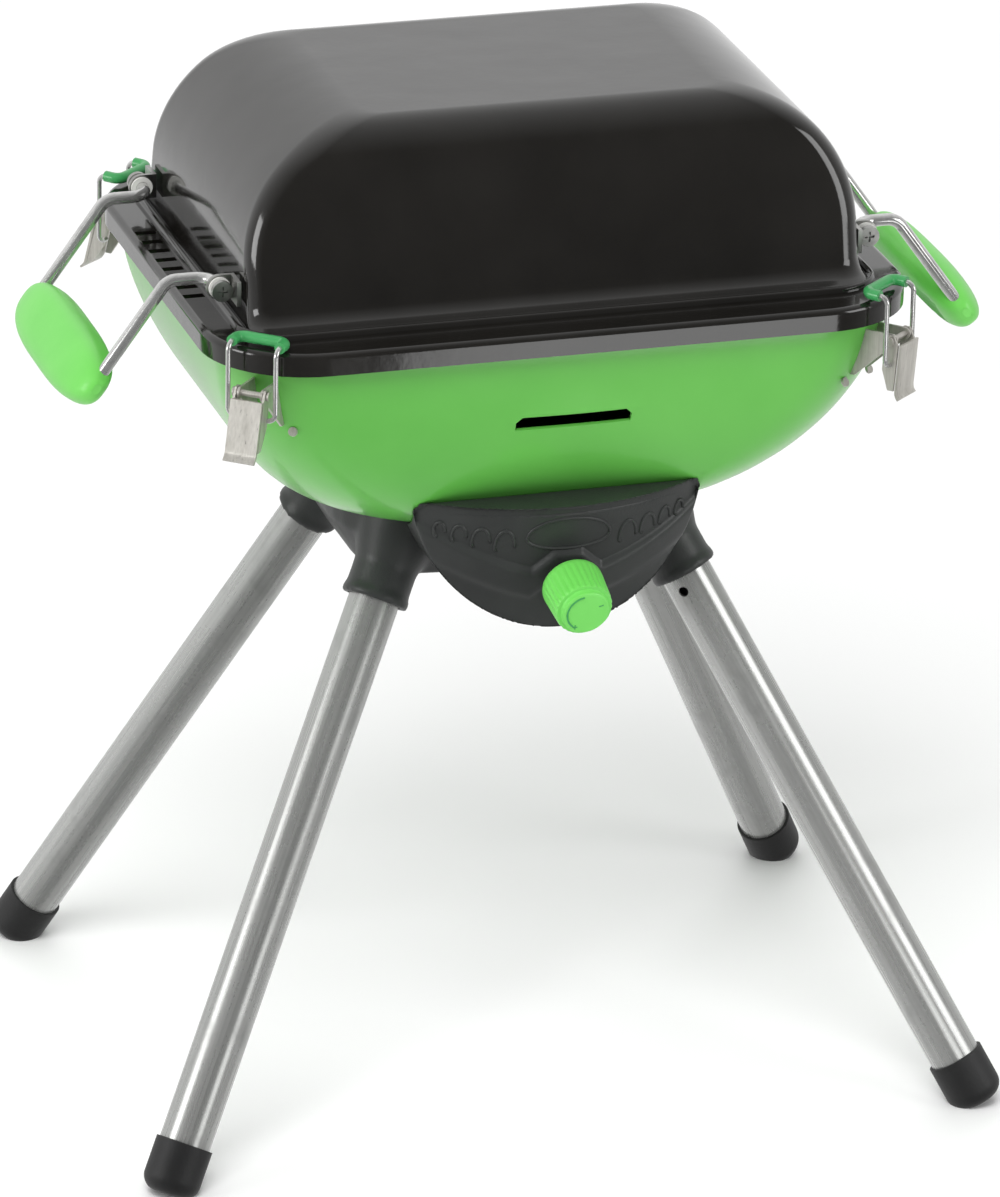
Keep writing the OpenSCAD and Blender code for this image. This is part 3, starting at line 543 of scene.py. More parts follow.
    def finish(self, body: str, finish: Finish, nodes: Iterable[str] = (), smooth: float = 35.0,
               material: bpy.types.Material | None = None, weighted: bool = True) -> bpy.types.Object:
        """Makes the mesh a piece.

        Args:
            body: The CAD body that it rides on.
            finish: Its finish.
            nodes: The CAD nodes that it stands for.
            smooth: Edges sharper than this angle in degrees stay sharp.
            material: A material in place of the finish's own.
            weighted: Shades large faces flat next to their rounded edges.

        Returns:
            The piece.
        """
        mesh = bpy.data.meshes.new(self.name)
        self.bm.to_mesh(mesh)
        self.bm.free()
        mesh.shade_smooth()
        mesh.set_sharp_from_angle(angle=math.radians(smooth))
        piece = bpy.data.objects.new(self.name, mesh)
        bpy.context.scene.collection.objects.link(piece)
        mesh.materials.append(material or PAINTBOX.get(finish))
        if weighted:
            modifier = piece.modifiers.new("even_shading", "WEIGHTED_NORMAL")
            modifier.keep_sharp = True
        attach(piece, body)
        nodes = list(nodes)
        if nodes:
            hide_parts(*nodes)
        LOG.info("%s: %d faces on %s", self.name, len(mesh.polygons), body)
        return piece


class Ring:
    """The open edge of a rounded rectangle that is being drawn into a skin."""

    def __init__(self, blank: Blank, edges: list[bmesh.types.BMEdge], a: float, b: float, r: float) -> None:
        """Keeps the edges and the size that they have now."""
        self.blank, self.edges, self.a, self.b, self.r = blank, edges, a, b, r

    def to(self, a: float, b: float, r: float, z: float, extrude: bool = True) -> "Ring":
        """Draws the edge on to a new size and height.

        Args:
            a: New half length.
            b: New half depth.
            r: New corner radius.
            z: New height.
            extrude: False moves the edge itself.

        Returns:
            This ring.
        """
        if extrude:
            out = bmesh.ops.extrude_edge_only(self.blank.bm, edges=self.edges)["geom"]
            self.edges = [g for g in out if isinstance(g, bmesh.types.BMEdge)]
        for v in {v for e in self.edges for v in e.verts}:
            unit = []
            for value, half in ((v.co.x, self.a), (v.co.y, self.b)):
                straight = half - self.r
                unit.append((math.copysign(1.0, value), max(0.0, abs(value) - straight) / self.r,
                             min(abs(value), straight) / straight))
            scale = math.hypot(unit[0][1], unit[1][1]) or 1.0
            v.co.x = unit[0][0] * (unit[0][2] * (a - r) + unit[0][1] / scale * r)
            v.co.y = unit[1][0] * (unit[1][2] * (b - r) + unit[1][1] / scale * r)
            v.co.z = z
        self.a, self.b, self.r = a, b, r
        return self

    def cap(self) -> None:
        """Fills the ring."""
        bmesh.ops.edgeloop_fill(self.blank.bm, edges=self.edges)


def rounded_path(corners: Sequence[Vector], bend: float, steps: int = 10) -> list[Vector]:
    """A path through corners with each inner corner rounded.

    Args:
        corners: The corners in order.
        bend: Radius of the bends.
        steps: Points along each bend.

    Returns:
        The points.
    """
    path = [corners[0].copy()]
    for before, corner, after in zip(corners, corners[1:], corners[2:]):
        back, on = (before - corner).normalized(), (after - corner).normalized()
        half = back.angle(on) / 2
        reach = bend / math.tan(half)
        middle = corner + (back + on).normalized() * (bend / math.sin(half))
        first = corner + back * reach - middle
        last = corner + on * reach - middle
        for i in range(steps + 1):
            path.append(middle + first.normalized().slerp(last.normalized(), i / steps) * bend)
    path.append(corners[-1].copy())
    return path


def corner_of(side: str) -> tuple[int, int]:
    """The signs of X and Y at a corner named like front_left."""
    return (1 if side.endswith("right") else -1, 1 if side.startswith("back") else -1)


def joint(name: str) -> dict[str, Any]:
    """A joint of the frame by its name."""
    return next(j for j in frame["joints"] if j["name"] == name)


def dressed(node: str, finish: Finish, smooth: float = 40.0,
            material: bpy.types.Material | None = None) -> None:
    """Gives a CAD node that stays in view its finish."""
    piece = frame["nodes"][node]
    piece.data.materials.clear()
    piece.data.materials.append(material or PAINTBOX.get(finish))
    LOG.info("%s: CAD node in %s", node, finish.value)


def moulded(node: str, voxel: float, rounds: int, factor: float = 0.5) -> Blank:
    """A CAD node's form with its edges and joins softened as in a moulding.

    Args:
        node: The CAD node.
        voxel: Size of the even mesh laid over it.
        rounds: Times that the mesh is smoothed.
        factor: How far each smoothing goes.

    Returns:
        The softened mesh.
    """
    copy = frame["nodes"][node].data.copy()
    work = bmesh.new()
    work.from_mesh(copy)
    bmesh.ops.remove_doubles(work, verts=work.verts, dist=1e-6)
    work.to_mesh(copy)
    work.free()
    helper = bpy.data.objects.new("helper", copy)
    bpy.context.scene.collection.objects.link(helper)
    remesh = helper.modifiers.new("even", "REMESH")
    remesh.mode = "VOXEL"
    remesh.voxel_size = voxel
    graph = bpy.context.evaluated_depsgraph_get()
    blank = Blank(f"{node}_moulding")
    blank.bm.from_mesh(helper.evaluated_get(graph).to_mesh())
    bpy.data.objects.remove(helper)
    for _ in range(rounds):
        bmesh.ops.smooth_vert(blank.bm, verts=blank.bm.verts, factor=factor, use_axis_x=True, use_axis_y=True,
                              use_axis_z=True)
    return blank


# ---------------------------------------------------------------- sub-assemblies


@dataclass
class Lid:
    """The deep enamelled lid: a loaf with a cove at its base."""

    shoulder: float = 64 * MM
    edge: float = 18 * MM
    lean: float = 21 * MM
    flare: float = 9 * MM
    side_share: float = 0.15
    cove: float = 10 * MM
    lip: float = 1.5 * MM
    corner: float = 12 * MM
    wall: float = 1.5 * MM
    steps: int = 26

    def build(self) -> None:
        """Draws the shell up from its lip to its top."""
        low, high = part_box("lid_shell")
        self.low, self.height = low.z, high.z - low.z
        self.a = high.x - self.flare * self.side_share
        self.b = high.y - self.flare
        blank = Blank("lid_shell_enamel")
        ring = blank.outline(*self.size_at(0.0), low.z, 10)
        for i in range(1, 13):
            self.draw(ring, self.cove * i / 12)
        first = self.height - self.shoulder
        self.draw(ring, (self.cove + first) / 2)
        for i in range(self.steps + 1):
            angle = math.pi / 2 * i / self.steps
            self.draw(ring, first + self.shoulder * math.sin(angle))
        ring.cap()
        blank.thicken(self.wall)
        blank.finish("lid", Finish.ENAMEL, ["lid_shell"], 50)

    def half_depth(self, h: float) -> float:
        """Half depth at height h: a leaning face, then the rounded edge."""
        over = h - self.height + self.edge
        rounding = self.edge - math.sqrt(max(0.0, self.edge**2 - over**2)) if over > 0 else 0.0
        return self.b - self.lean * h / self.height - rounding

    def size_at(self, h: float) -> tuple[float, float, float]:
        """Half length, half depth and corner radius at height h."""
        if h <= self.lip:
            out = self.flare
        elif h >= self.cove:
            out = 0.0
        else:
            out = self.flare * (1 - math.sqrt(1 - ((self.cove - h) / (self.cove - self.lip)) ** 2))
        up = h - self.height + self.shoulder
        inward = self.shoulder - math.sqrt(max(0.0, self.shoulder**2 - up**2)) if up > 0 else 0.0
        return self.a + out * self.side_share - inward, self.half_depth(h) + out, self.corner

    def draw(self, ring: Ring, h: float) -> None:
        """Draws the ring on to height h."""
        ring.to(*self.size_at(h), self.low + h)


@dataclass
class RimFrame:
    """The pressed rim: a band, a shelf with a bead and vents, and the ledge for the grate."""

    sheet: float = 1.6 * MM
    band: float = 11 * MM
    corner: float = 50 * MM
    edge: float = 3 * MM
    bead_out: float = 7 * MM
    bead_lid: float = 5 * MM
    bead: float = 1.6 * MM
    bead_corner: float = 24 * MM
    ledge: float = 7 * MM
    ledge_drop: float = 10 * MM
    vent: Vector = field(default_factory=lambda: Vector((12, 5, 0)) * MM)
    vents: int = 8
    pitch: float = 13 * MM

    def build(self) -> None:
        """Draws the frame from the band's lower edge over the top and down to the ledge."""
        low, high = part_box("rim_frame")
        lid_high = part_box("lid_shell")[1]
        a, b, z0 = high.x, high.y, low.z
        top = z0 + self.band
        blank = Blank("rim_frame_enamel")
        ring = blank.outline(a, b, self.corner, z0, 14)
        ring.to(a, b, self.corner, top - self.edge)
        for i in range(1, 7):
            t = math.pi / 2 * i / 6
            inward = self.edge * (1 - math.cos(t))
            ring.to(a - inward, b - inward, self.corner - inward, top - self.edge * (1 - math.sin(t)))
        bead_a = lid_high.x - 1.35 * MM + self.bead_out
        bead_b = lid_high.y + self.bead_lid
        for i in range(9):
            t = math.pi * i / 8
            out = 1.1 * self.bead * math.cos(t) - 1.1 * self.bead
            ring.to(bead_a + out, bead_b + out, self.bead_corner + out, top + 1.8 * self.bead * math.sin(t))
        inner_a, inner_b = lid_high.x - 4.9 * MM, lid_high.y - 12.5 * MM
        ring.to(inner_a + 2 * MM, inner_b + 2 * MM, 14 * MM, top)
        ring.to(inner_a, inner_b, 12 * MM, top - 2 * MM)
        ring.to(inner_a, inner_b, 12 * MM, top - self.ledge_drop)
        ring.to(inner_a - self.ledge, inner_b - self.ledge, 8 * MM, top - self.ledge_drop)
        middle = (bead_a + a - self.sheet) / 2
        half = Vector((min(self.vent.x, a - self.edge - bead_a - 2 * MM), self.vent.y, 0)) / 2
        for side in (-1, 1):
            for i in range(self.vents):
                centre = Vector((side * middle, self.pitch * (i - (self.vents - 1) / 2), top))
                axes = [Vector(x) for x in ((1, 0, 0), (-1, 0, 0), (0, 1, 0), (0, -1, 0))]
                planes = [(centre + Vector((n.x * half.x, n.y * half.y, 0)), n) for n in axes]
                blank.window(planes, lambda p, s=side: p.x * s > bead_a + 0.2 * MM and abs(p.z - top) < 0.2 * MM
                             and p.x * s < a - self.edge * 0.9)
        blank.thicken(self.sheet)
        blank.finish("base", Finish.ENAMEL, ["rim_frame"], 40)


@dataclass
class Bowl:
    """The painted fire bowl with its front slot."""

    curve: float = 60 * MM
    ends: float = 1.45
    power: float = 1.75
    corner: float = 41 * MM
    corner_grow: float = 20 * MM
    inset: float = 9 * MM
    sheet: float = 1.6 * MM
    slot: Vector = field(default_factory=lambda: Vector((57, 0, 7)) * MM)
    slot_drop: float = 37 * MM
    chamfer: float = 3 * MM
    steps: int = 30

    def build(self) -> None:
        """Draws the bowl from its floor up to its lip."""
        low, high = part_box("fire_bowl")
        rim_low, rim_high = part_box("rim_frame")
        a, b = rim_high.x - self.inset, rim_high.y - self.inset
        band, depth = rim_low.z, rim_low.z - low.z
        blank = Blank("fire_bowl_shell")
        ring = None
        for i in range(self.steps, -1, -1):
            s = math.sin(math.pi / 2 * i / self.steps)
            inward = self.curve * (1 - (1 - s**self.power) ** (1 / self.power))
            size = (a - inward * self.ends, b - inward, self.corner + self.corner_grow * s, band - depth * s)
            if ring is None:
                ring = blank.outline(*size, 12)
                ring.cap()
            else:
                ring.to(*size)
        ring.to(a, b, self.corner, high.z - self.sheet)
        ring.to(a + 7 * MM, b + 7 * MM, self.corner + 7 * MM, high.z - self.sheet * 0.5)
        front = [e for e in blank.bm.edges if all(v.co.y < -0.2 * b and abs(v.co.x) < a for v in e.verts)
                 and e.verts[0].co.x * e.verts[1].co.x < 0]
        bmesh.ops.subdivide_edges(blank.bm, edges=front, cuts=24, use_grid_fill=False)
        z = band - self.slot_drop
        half = self.slot / 2
        cut = self.chamfer
        planes = [(Vector((half.x, 0, z)), Vector((1, 0, 0))), (Vector((-half.x, 0, z)), Vector((-1, 0, 0))),
                  (Vector((0, 0, z + half.z)), Vector((0, 0, 1))),
                  (Vector((0, 0, z - half.z)), Vector((0, 0, -1)))]
        for side in (-1, 1):
            corner = Vector((side * (half.x - cut / 2), 0, z + half.z - cut / 2))
            planes.append((corner, Vector((side, 0, 1)).normalized()))
        for v in blank.bm.verts:
            if v.co.y < -0.5 * b:
                dx, dz = v.co.x / (0.62 * self.slot.x), (v.co.z - z - 3 * MM) / (9 * MM)
                lift = max(0.0, 1 - dx * dx - dz * dz)
                v.co.y -= 1.6 * MM * lift
        blank.window(planes, lambda p: p.y < -0.5 * b and abs(p.x) < 2 * half.x and abs(p.z - z) < 12 * MM)
        blank.thicken(self.sheet)
        blank.finish("base", Finish.PAINT, ["fire_bowl"], 50)


@dataclass
class Housing:
    """The moulded leg housing and the control fascia in front of it."""

    voxel: float = 1.25 * MM
    rounds: int = 5
    line: float = 0.8 * MM
    panel_z: float = 304 * MM
    oval_w: float = 20.5 * MM
    oval_h: float = 10.5 * MM
    fold_z: float = 284 * MM
    hump_z: float = 296 * MM
    fold_soft: float = 0.9 * MM
    fold_deep: float = 3.6 * MM
    step_drop: float = 15 * MM
    step_deep: float = 1.6 * MM

    def build(self) -> None:
        """Builds the housing, the fascia and the fascia's moulded marks."""
        body = moulded("leg_housing", self.voxel, self.rounds)
        body.finish("base", Finish.HOUSING, ["leg_housing"], 180, weighted=False)
        self.face()

    def face(self) -> None:
        """Builds the fascia with a stepped lower apron, a raised boss round the knob, and its line marks."""
        blank = moulded("control_fascia", 0.9 * MM, 2)
        self.apron(blank)
        tree = BVHTree.FromBMesh(blank.bm)
        blank.finish("base", Finish.HOUSING, ["control_fascia"], 180, weighted=False)
        marks = Blank("fascia_marks")
        for points in self.figures():
            path = []
            for x, z in points:
                hit, normal, _, _ = tree.ray_cast(Vector((x, -0.3, z)), Vector((0, 1, 0)))
                if hit is not None:
                    path.append(hit + normal * self.line * 0.1)
            if len(path) > 3:
                marks.swept(path, self.line, 8)
        marks.closed().finish("base", Finish.HOUSING, [], 180, weighted=False)

    def crease(self, x: float) -> float:
        """Height of the fold line across the fascia at x."""
        fold = self.fold_z + 20 * MM * (abs(x) / (60 * MM)) ** 1.6
        hump = self.hump_z - 0.9 * max(0.0, abs(x) - 7 * MM)
        return max(fold, hump) if abs(x) < 32 * MM else fold

    def apron(self, blank: Blank) -> None:
        """Sets the fascia's front back above the fold line, and again below a lower step.

        Args:
            blank: The fascia's mesh.
        """
        blank.bm.normal_update()
        low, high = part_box("control_fascia")
        for v in blank.bm.verts:
            depth = (v.co.y - low.y) / (high.y - low.y)
            if depth < 0.75 and v.normal.y < -0.2:
                above = self.soft((v.co.z - self.crease(v.co.x)) / self.fold_soft)
                under = self.soft((self.crease(v.co.x) - self.step_drop - v.co.z) / self.fold_soft)
                v.co.y += self.fold_deep * above + self.step_deep * under

    @staticmethod
    def soft(x: float) -> float:
        """A smooth step from 0 to 1 round x = 0."""
        return 1 / (1 + math.exp(-max(-20.0, min(20.0, x))))

    def figures(self) -> list[list[tuple[float, float]]]:
        """The blank panel's outline and the small arches beside it.

        Returns:
            For each mark its (x, z) points.
        """
        made = []
        ring = []
        for i in range(49):
            t = 2 * math.pi * i / 48
            x, z = self.oval_w * math.cos(t), self.oval_h * math.sin(t)
            if z < 0:
                z *= 0.6
            ring.append((x, self.panel_z + z))
        made.append(ring)
        for side in (-1, 1):
            for i, (w, h) in enumerate(((4.6, 9.0), (4.0, 7.6), (3.2, 6.4), (2.5, 5.0))):
                x0 = side * (30.5 + 11.5 * i - 0.6 * i * i) * MM
                base = self.panel_z + (-4.5 + 2.2 * i) * MM
                arch = [(x0 + w * MM * math.cos(math.pi * k / 16), base + h * MM * math.sin(math.pi * k / 16))
                        for k in range(17)]
                arch += [(x0 - w * MM, base - 1.5 * MM), (x0 - (w - 1) * MM, base - 2.4 * MM)]
                made.append(arch)
        return made


@dataclass
class Knob:
    """The ribbed knob with its face disc and its generic plus and minus marks."""

    ribs: int = 30
    rib: float = 0.55 * MM
    length: float = 24 * MM

    def build(self) -> None:
        """Builds the knob about the turning axis of its joint."""
        turn = joint("knob_turn")
        axis = -Vector(turn["axis"]).normalized()
        if axis.y > 0:
            axis = -axis
        across = Vector((1, 0, 0))
        up = axis.cross(across).normalized()
        if up.z < 0:
            up = -up
        across = up.cross(axis)
        face = Vector(turn["pos_m"])
        low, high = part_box("control_knob")
        radius = (high.x - low.x) / 2 - 0.1 * MM
        own = Matrix((across, up, axis)).transposed().to_4x4()
        at = Matrix.Translation(face) @ own
        blank = Blank("control_knob_body")
        disc = radius - 3.4 * MM
        back = -self.length
        profile = [(3.1 * MM, back + 4 * MM), (3.1 * MM, back + 0.2 * MM), (5.6 * MM, back + 0.2 * MM),
                   (5.6 * MM, back + 3 * MM), (radius - 3 * MM, back + 3 * MM), (radius - 2.6 * MM, back),
                   (radius - 0.6 * MM, back), (radius, back + 0.8 * MM), (radius, back + 3 * MM),
                   (radius - 0.05 * MM, back + 4.2 * MM), (radius - 0.9 * MM, -4.6 * MM),
                   (radius - 1.1 * MM, -3.6 * MM), (radius - 1.6 * MM, -3.0 * MM), (disc + 0.35 * MM, -2.8 * MM),
                   (disc, -2.4 * MM), (disc - 0.1 * MM, -0.6 * MM), (disc - 0.6 * MM, -0.1 * MM),
                   (disc - 1.4 * MM, 0.0), (0.0, 0.0)]
        steps = self.ribs * 6
        new = blank.turned(profile, Matrix.Identity(4), steps)
        for v in new:
            r = math.hypot(v.co.x, v.co.y)
            if r > radius - 1.15 * MM and back + 3.5 * MM < v.co.z < -3.2 * MM:
                wave = 0.5 + 0.5 * math.cos(math.atan2(v.co.y, v.co.x) * self.ribs)
                v.co.xy *= 1 - self.rib * (1 - wave**0.6) / r
        bmesh.ops.transform(blank.bm, matrix=at, verts=new)
        blank.closed()
        blank.finish("knob", Finish.KNOB, ["control_knob"], 40, weighted=False)
        self.marks(at, disc)

    def marks(self, at: Matrix, disc: float) -> None:
        """Adds the raised arc, plus and minus on the face, in the darker sleeve green as painted shade so that they
        read dark.
        """
        marks = Blank("control_knob_marks_painted_shade")
        arc = []
        for i in range(25):
            t = math.radians(100 + 130 * i / 24)
            arc.append(at @ Vector((0.80 * disc * math.cos(t), 0.80 * disc * math.sin(t), 0.0)))
        marks.swept(arc, 0.45 * MM, 8)
        for x, y, turn in ((0.62, 0.30, 0.3), (-0.42, -0.66, 0.0), (-0.42, -0.66, math.pi / 2)):
            spot = at @ Matrix.Translation((x * disc, y * disc, 0)) @ Matrix.Rotation(turn, 4, "Z")
            marks.brick(Vector((2.4, 0.55, 0.5)) * MM, spot, 0.15 * MM, 2)
        # Painted shade: the marks take the darker sleeve green to stand for the shade that makes them read dark on
        # the knob face.
        marks.closed().finish("knob", Finish.SLEEVE, [], 40, weighted=False)


@dataclass
class Handle:
    """One folding wire handle with its moulded grip."""

    end: str
    wire: float = 3 * MM
    bend: float = 9 * MM
    level: float = 21 * MM
    drop: float = 62 * MM
    angle: float = 54.0
    arm: float = 59 * MM
    ear: float = 73 * MM
    stub: float = 5 * MM
    grip: Vector = field(default_factory=lambda: Vector((33, 23, 130)) * MM)
    rows: int = 44
    sides: int = 48
    tip: float = 0.16
    set_back: float = 1 * MM
    pocket_deep: float = 5 * MM

    def build(self) -> None:
        """Builds the wire and the grip."""
        self.side = 1 if self.end == "right" else -1
        pivot = Vector(joint(f"handle_{self.end}_fold")["pos_m"])
        down = Vector((self.side * math.cos(math.radians(self.angle)), 0, -math.sin(math.radians(self.angle))))
        bend = pivot + Vector((self.side * self.level, 0, 0))
        low = bend + down * self.drop
        arm = Vector((0, self.arm, 0))
        end = Vector((0, self.ear + self.stub, 0))
        corners = [pivot - end, pivot - arm, bend - arm, low - arm,
                   low + arm, bend + arm, pivot + arm, pivot + end]
        blank = Blank(f"handle_wire_{self.end}_bent")
        blank.swept(rounded_path(corners, self.bend, 12), self.wire, 20)
        blank.closed().finish(f"handle_{self.end}", Finish.CHROME, [f"handle_wire_{self.end}"], 60,
                              weighted=False)
        self.hold(low, down)

    def hold(self, middle: Vector, down: Vector) -> None:
        """Builds the grip: long and rounded, with a pocket moulded into its inner face.

        Args:
            middle: The middle of the grip's wire run.
            down: The arms' direction.
        """
        out = Vector((0, self.side, 0)).cross(down)
        if out.x * self.side < 0:
            out.negate()
        axes = (Vector((0, 1, 0)), down.normalized(), out)
        half = self.grip / 2
        blank = Blank(f"handle_grip_{self.end}_moulding")
        bm = blank.bm
        made = bmesh.ops.create_circle(bm, cap_ends=False, radius=1.0, segments=self.sides)["verts"]
        edges = list(bm.edges)
        ring = [(v, v.co.copy()) for v in made]
        for i in range(self.rows + 1):
            s = -math.cos(math.pi * i / self.rows)
            if i:
                units = {self.spot(v): unit for v, unit in ring}
                grown = bmesh.ops.extrude_edge_only(bm, edges=edges)["geom"]
                edges = [g for g in grown if isinstance(g, bmesh.types.BMEdge)]
                ring = [(g, units[self.spot(g)]) for g in grown if isinstance(g, bmesh.types.BMVert)]
            swell = self.tip if i in (0, self.rows) else max(0.0, 1 - abs(s) ** 3.2) ** (1 / 2.4)
            for v, unit in ring:
                x, y = self.section(unit, half.x * swell, half.y * swell)
                v.co = middle + axes[0] * (half.z * s) + axes[1] * (x - self.set_back) + axes[2] * y
            if i == 0:
                bmesh.ops.edgeloop_fill(bm, edges=edges)
        bmesh.ops.edgeloop_fill(bm, edges=edges)
        blank.closed()
        self.pocket(blank, middle, axes, half)
        blank.finish(f"handle_{self.end}", Finish.GRIP, [f"handle_grip_{self.end}"], 60, weighted=False)

    @staticmethod
    def spot(v: bmesh.types.BMVert) -> tuple[int, ...]:
        """A vertex's place in whole thousandths of a millimetre."""
        return tuple(round(c * 1e6) for c in v.co)

    @staticmethod
    def section(unit: Vector, w: float, t: float) -> tuple[float, float]:
        """A point of the grip's section, a soft rounded rectangle of half sizes w and t."""
        power = 2 / 2.6
        return math.copysign(abs(unit.x) ** power, unit.x) * w, math.copysign(abs(unit.y) ** power, unit.y) * t

    def pocket(self, blank: Blank, middle: Vector, axes: tuple[Vector, Vector, Vector], half: Vector) -> None:
        """Presses the hollow into the grip's inner face.

        Args:
            blank: The grip's mesh.
            middle: Its middle.
            axes: The directions along it, across it and out of it.
            half: Half its width, thickness and length.
        """
        along, across, out = axes
        for v in blank.bm.verts:
            d = v.co - middle
            if d.dot(out) < -0.2 * half.y:
                dx, ds = d.dot(across) / (0.62 * half.x), d.dot(along) / half.z / 0.74
                inside = max(0.0, 1 - dx**4 - ds**4)
                v.co += out * (self.pocket_deep * inside**0.5)


@dataclass
class Latch:
    """One corner toggle latch."""

    corner: str
    width: float = 16 * MM
    length: float = 31 * MM
    face: float = 5 * MM
    sheet: float = 1.2 * MM
    curl: float = 6 * MM
    rests: dict[str, float] = field(default_factory=lambda: {"left": 8 * MM, "right": -2.5 * MM})

    def build(self) -> None:
        """Builds the lever over its CAD node and dresses the rest."""
        pin = Vector(joint(f"latch_{self.corner}_open")["pos_m"])
        axis = Vector(joint(f"latch_{self.corner}_open")["axis"])
        sx, sy = corner_of(self.corner)
        out = Vector((axis.y, -axis.x, 0))
        if out.x * sx + out.y * sy < 0:
            out = -out
        across = Vector((0, 0, 1)).cross(out)
        at = Matrix.Translation(pin) @ Matrix((out, across, Vector((0, 0, 1)))).transposed().to_4x4()
        blank = Blank(f"latch_lever_{self.corner}_pressed")
        bm = blank.bm
        before = set(bm.verts)
        start = [bm.verts.new(p) for p in self.strip()]
        edges = [bm.edges.new(pair) for pair in zip(start, start[1:])]
        grown = bmesh.ops.extrude_edge_only(bm, edges=edges)["geom"]
        far = [g for g in grown if isinstance(g, bmesh.types.BMVert)]
        bmesh.ops.translate(bm, vec=(0, self.width, 0), verts=far)
        blank.thicken(self.sheet)
        for side in (-1, 1):
            self.cheek(blank, side)
        lean = self.rests[self.corner.split("_")[1]]
        for v in bm.verts:
            v.co.x += lean * max(0.0, -v.co.z - 2 * MM) / self.length
        bmesh.ops.transform(bm, matrix=at, verts=[v for v in bm.verts if v not in before])
        blank.closed().finish(f"latch_{self.corner}", Finish.NICKEL, [f"latch_lever_{self.corner}"], 30)
        for node in ("bracket", "pin"):
            dressed(f"latch_{node}_{self.corner}", Finish.NICKEL)
        dressed(f"latch_loop_{self.corner}", Finish.CHROME)
        dressed(f"loop_sleeve_{self.corner}", Finish.SLEEVE)

    def strip(self) -> list[Vector]:
        """The lever face's side view, from its top edge down to its turned-out tip."""
        half = -self.width / 2
        foot = -self.length + self.curl
        points = [Vector((self.face, half, z)) for z in (-1.5 * MM, -self.length * 0.5, foot)]
        for i in range(1, 7):
            t = math.radians(50 * i / 6)
            points.append(Vector((self.face + self.curl * (1 - math.cos(t)), half, foot - self.curl * math.sin(t))))
        return points

    def cheek(self, blank: Blank, side: int) -> None:
        """Adds one side flange of the lever."""
        bm = blank.bm
        y = side * (self.width / 2 - self.sheet / 2)
        edge, foot = self.face / MM - 0.8, (self.curl - self.length) / MM
        outline = [(-2.9, 1.6), (-1.6, 3.0), (1.6, 3.0), (edge, -2.0), (edge, foot), (1.0, foot), (-3.0, -15.0)]
        verts = [bm.verts.new((x * MM, y - self.sheet / 2, z * MM)) for x, z in outline]
        flat = bm.faces.new(verts)
        grown = bmesh.ops.extrude_face_region(bm, geom=[flat], use_keep_orig=True)["geom"]
        far = [g for g in grown if isinstance(g, bmesh.types.BMVert)]
        bmesh.ops.translate(bm, vec=(0, self.sheet, 0), verts=far)


@dataclass
class Leg:
    """One plug-in tube leg with its rubber foot."""

    corner: str
    radius: float = 12.5 * MM
    wall: float = 1.5 * MM

    def build(self) -> None:
        """Dresses the tube with streaks along it, and dresses the foot in rubber."""
        axis = Vector(joint(f"leg_{self.corner}_pull")["axis"]).normalized()
        material = PAINTBOX.tube(self.corner, axis)
        dressed(f"leg_tube_{self.corner}", Finish.TUBE, material=material)
        dressed(f"leg_foot_{self.corner}", Finish.RUBBER)


PLAIN: dict[str, Finish] = {
    "cooking_grate": Finish.WIRE,
    "heat_deflector": Finish.STEEL,
    "burner_cap": Finish.BRASS,
    "burner_tube": Finish.STEEL,
    "gas_jet": Finish.BRASS,
    "regulator_body": Finish.CAST,
    "inlet_seal": Finish.RUBBER,
    "supply_pipe": Finish.COPPER,
    "gas_valve": Finish.BRASS,
    "valve_stem": Finish.STEEL,
    "housing_screws": Finish.ZINC,
    "latch_rivets": Finish.NICKEL,
    "handle_ears": Finish.ZINC,
    "pivot_washers_left": Finish.NYLON,
    "pivot_washers_right": Finish.NYLON,
    "pivot_screws_left": Finish.ZINC,
    "pivot_screws_right": Finish.ZINC,
}


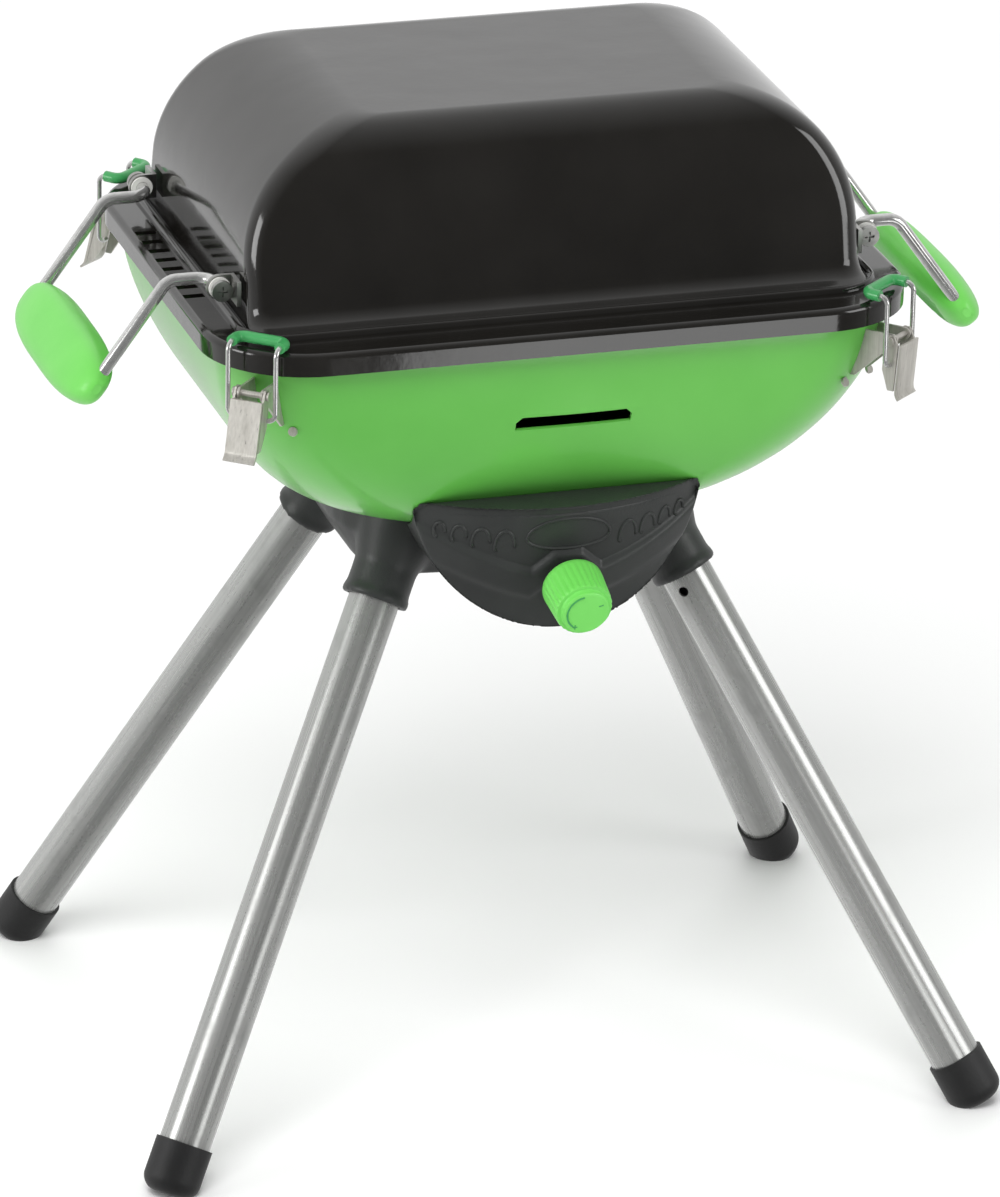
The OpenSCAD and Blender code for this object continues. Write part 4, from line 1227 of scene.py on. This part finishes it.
@dataclass
class Studio:
    """The pale floor, the soft lights and the camera."""

    azimuth: float = -17.08
    elevation: float = 22.09
    roll: float = 1.08
    distance: float = 4.1675
    aim: Vector = field(default_factory=lambda: Vector((3.33, 0, 224.13)) * MM)
    lens: float = 8494.5 * 36 / 1197
    span: float = 30.0
    front_glow: float = 0.12
    rear_glow: float = 0.86

    def build(self) -> None:
        """Sets up the studio."""
        self.floor()
        self.world()
        self.lamp("key", Vector((-0.9, -1.6, 2.6)), 1.7, 60.0)
        self.lamp("fill", Vector((1.9, -1.6, 1.0)), 1.2, 16.0, True)
        self.lamp("side", Vector((-2.4, -0.4, 0.9)), 1.0, 16.0, True)
        self.lamp("rear", Vector((0.5, 2.4, 1.9)), 2.0, 26.0)
        self.lamp("glint", Vector((0.34, -1.0, 0.12)), 0.34, 0.9, True)
        self.camera()

    def floor(self) -> None:
        """A wide plain floor."""
        blank = Blank("studio_floor")
        bmesh.ops.create_grid(blank.bm, x_segments=1, y_segments=1, size=self.span)
        mesh = bpy.data.meshes.new("studio_floor")
        blank.bm.to_mesh(mesh)
        blank.bm.free()
        floor = bpy.data.objects.new("studio_floor", mesh)
        bpy.context.scene.collection.objects.link(floor)
        recipe = Recipe("studio_floor")
        cloud = recipe.noise(recipe.place(), 1.5, 2.0)
        recipe.set(Base_Color=recipe.blend(cloud, (0.90, 0.90, 0.90), (0.93, 0.93, 0.93)), Roughness=0.9)
        recipe.set(Specular_IOR_Level=0.0)
        mesh.materials.append(recipe.material)
        floor.visible_glossy = False

    def world(self) -> None:
        """An even pale surround."""
        world = bpy.data.worlds.new("studio")
        world.use_nodes = True
        tree = world.node_tree
        here = tree.nodes.new("ShaderNodeTexCoord")
        split = tree.nodes.new("ShaderNodeSeparateXYZ")
        spread = tree.nodes.new("ShaderNodeMapRange")
        ramp = tree.nodes.new("ShaderNodeValToRGB")
        tree.links.new(here.outputs["Generated"], split.inputs[0])
        tree.links.new(split.outputs["Y"], spread.inputs[0])
        spread.inputs[1].default_value, spread.inputs[2].default_value = -1.0, 1.0
        tree.links.new(spread.outputs[0], ramp.inputs[0])
        ramp.color_ramp.elements[0].position, ramp.color_ramp.elements[1].position = 0.12, 0.80
        ramp.color_ramp.elements[0].color = (*(self.front_glow,) * 3, 1.0)
        ramp.color_ramp.elements[1].color = (*(self.rear_glow,) * 3, 1.0)
        tree.links.new(ramp.outputs[0], tree.nodes["Background"].inputs[0])
        bpy.context.scene.world = world
        bpy.context.scene.view_settings.view_transform = "Standard"

    def lamp(self, name: str, spot: Vector, size: float, power: float, shine: bool = False) -> None:
        """One soft square lamp aimed at the grill.

        Args:
            name: Its name.
            spot: Where it stands.
            size: Its side.
            power: Its power in watts.
            shine: Whether it shows in glossy surfaces.
        """
        light = bpy.data.lights.new(name, "AREA")
        light.size = size
        light.energy = power
        lamp = bpy.data.objects.new(name, light)
        lamp.location = spot
        lamp.rotation_mode = "QUATERNION"
        lamp.rotation_quaternion = (self.aim - spot).to_track_quat("-Z", "Y")
        lamp.visible_glossy = shine
        lamp.visible_camera = False
        bpy.context.scene.collection.objects.link(lamp)

    def camera(self) -> None:
        """The camera, in front, a little to the left and above."""
        az, el, roll = (math.radians(x) for x in (self.azimuth, self.elevation, self.roll))
        back = Vector((math.sin(az) * math.cos(el), -math.cos(az) * math.cos(el), math.sin(el)))
        right = Vector((math.cos(az), math.sin(az), 0))
        up = back.cross(right)
        across = right * math.cos(roll) + up * math.sin(roll)
        over = up * math.cos(roll) - right * math.sin(roll)
        data = bpy.data.cameras.new("camera")
        data.lens = self.lens
        data.sensor_width = 36.0
        data.clip_start, data.clip_end = 0.1, 100.0
        camera = bpy.data.objects.new("camera", data)
        turn = Matrix((across, over, back)).transposed().to_4x4()
        camera.matrix_world = Matrix.Translation(self.aim + back * self.distance) @ turn
        bpy.context.scene.collection.objects.link(camera)
        bpy.context.scene.camera = camera


def main() -> None:
    """Builds the grill and its studio."""
    logging.basicConfig(level=logging.INFO, format="%(name)s %(message)s")
    Studio().build()
    Bowl().build()
    RimFrame().build()
    Lid().build()
    Housing().build()
    Knob().build()
    for end in ("left", "right"):
        Handle(end).build()
    for corner in ("front_left", "front_right", "back_left", "back_right"):
        Latch(corner).build()
        Leg(corner).build()
    for node, finish in PLAIN.items():
        dressed(node, finish)


if __name__ == "__main__":
    main()
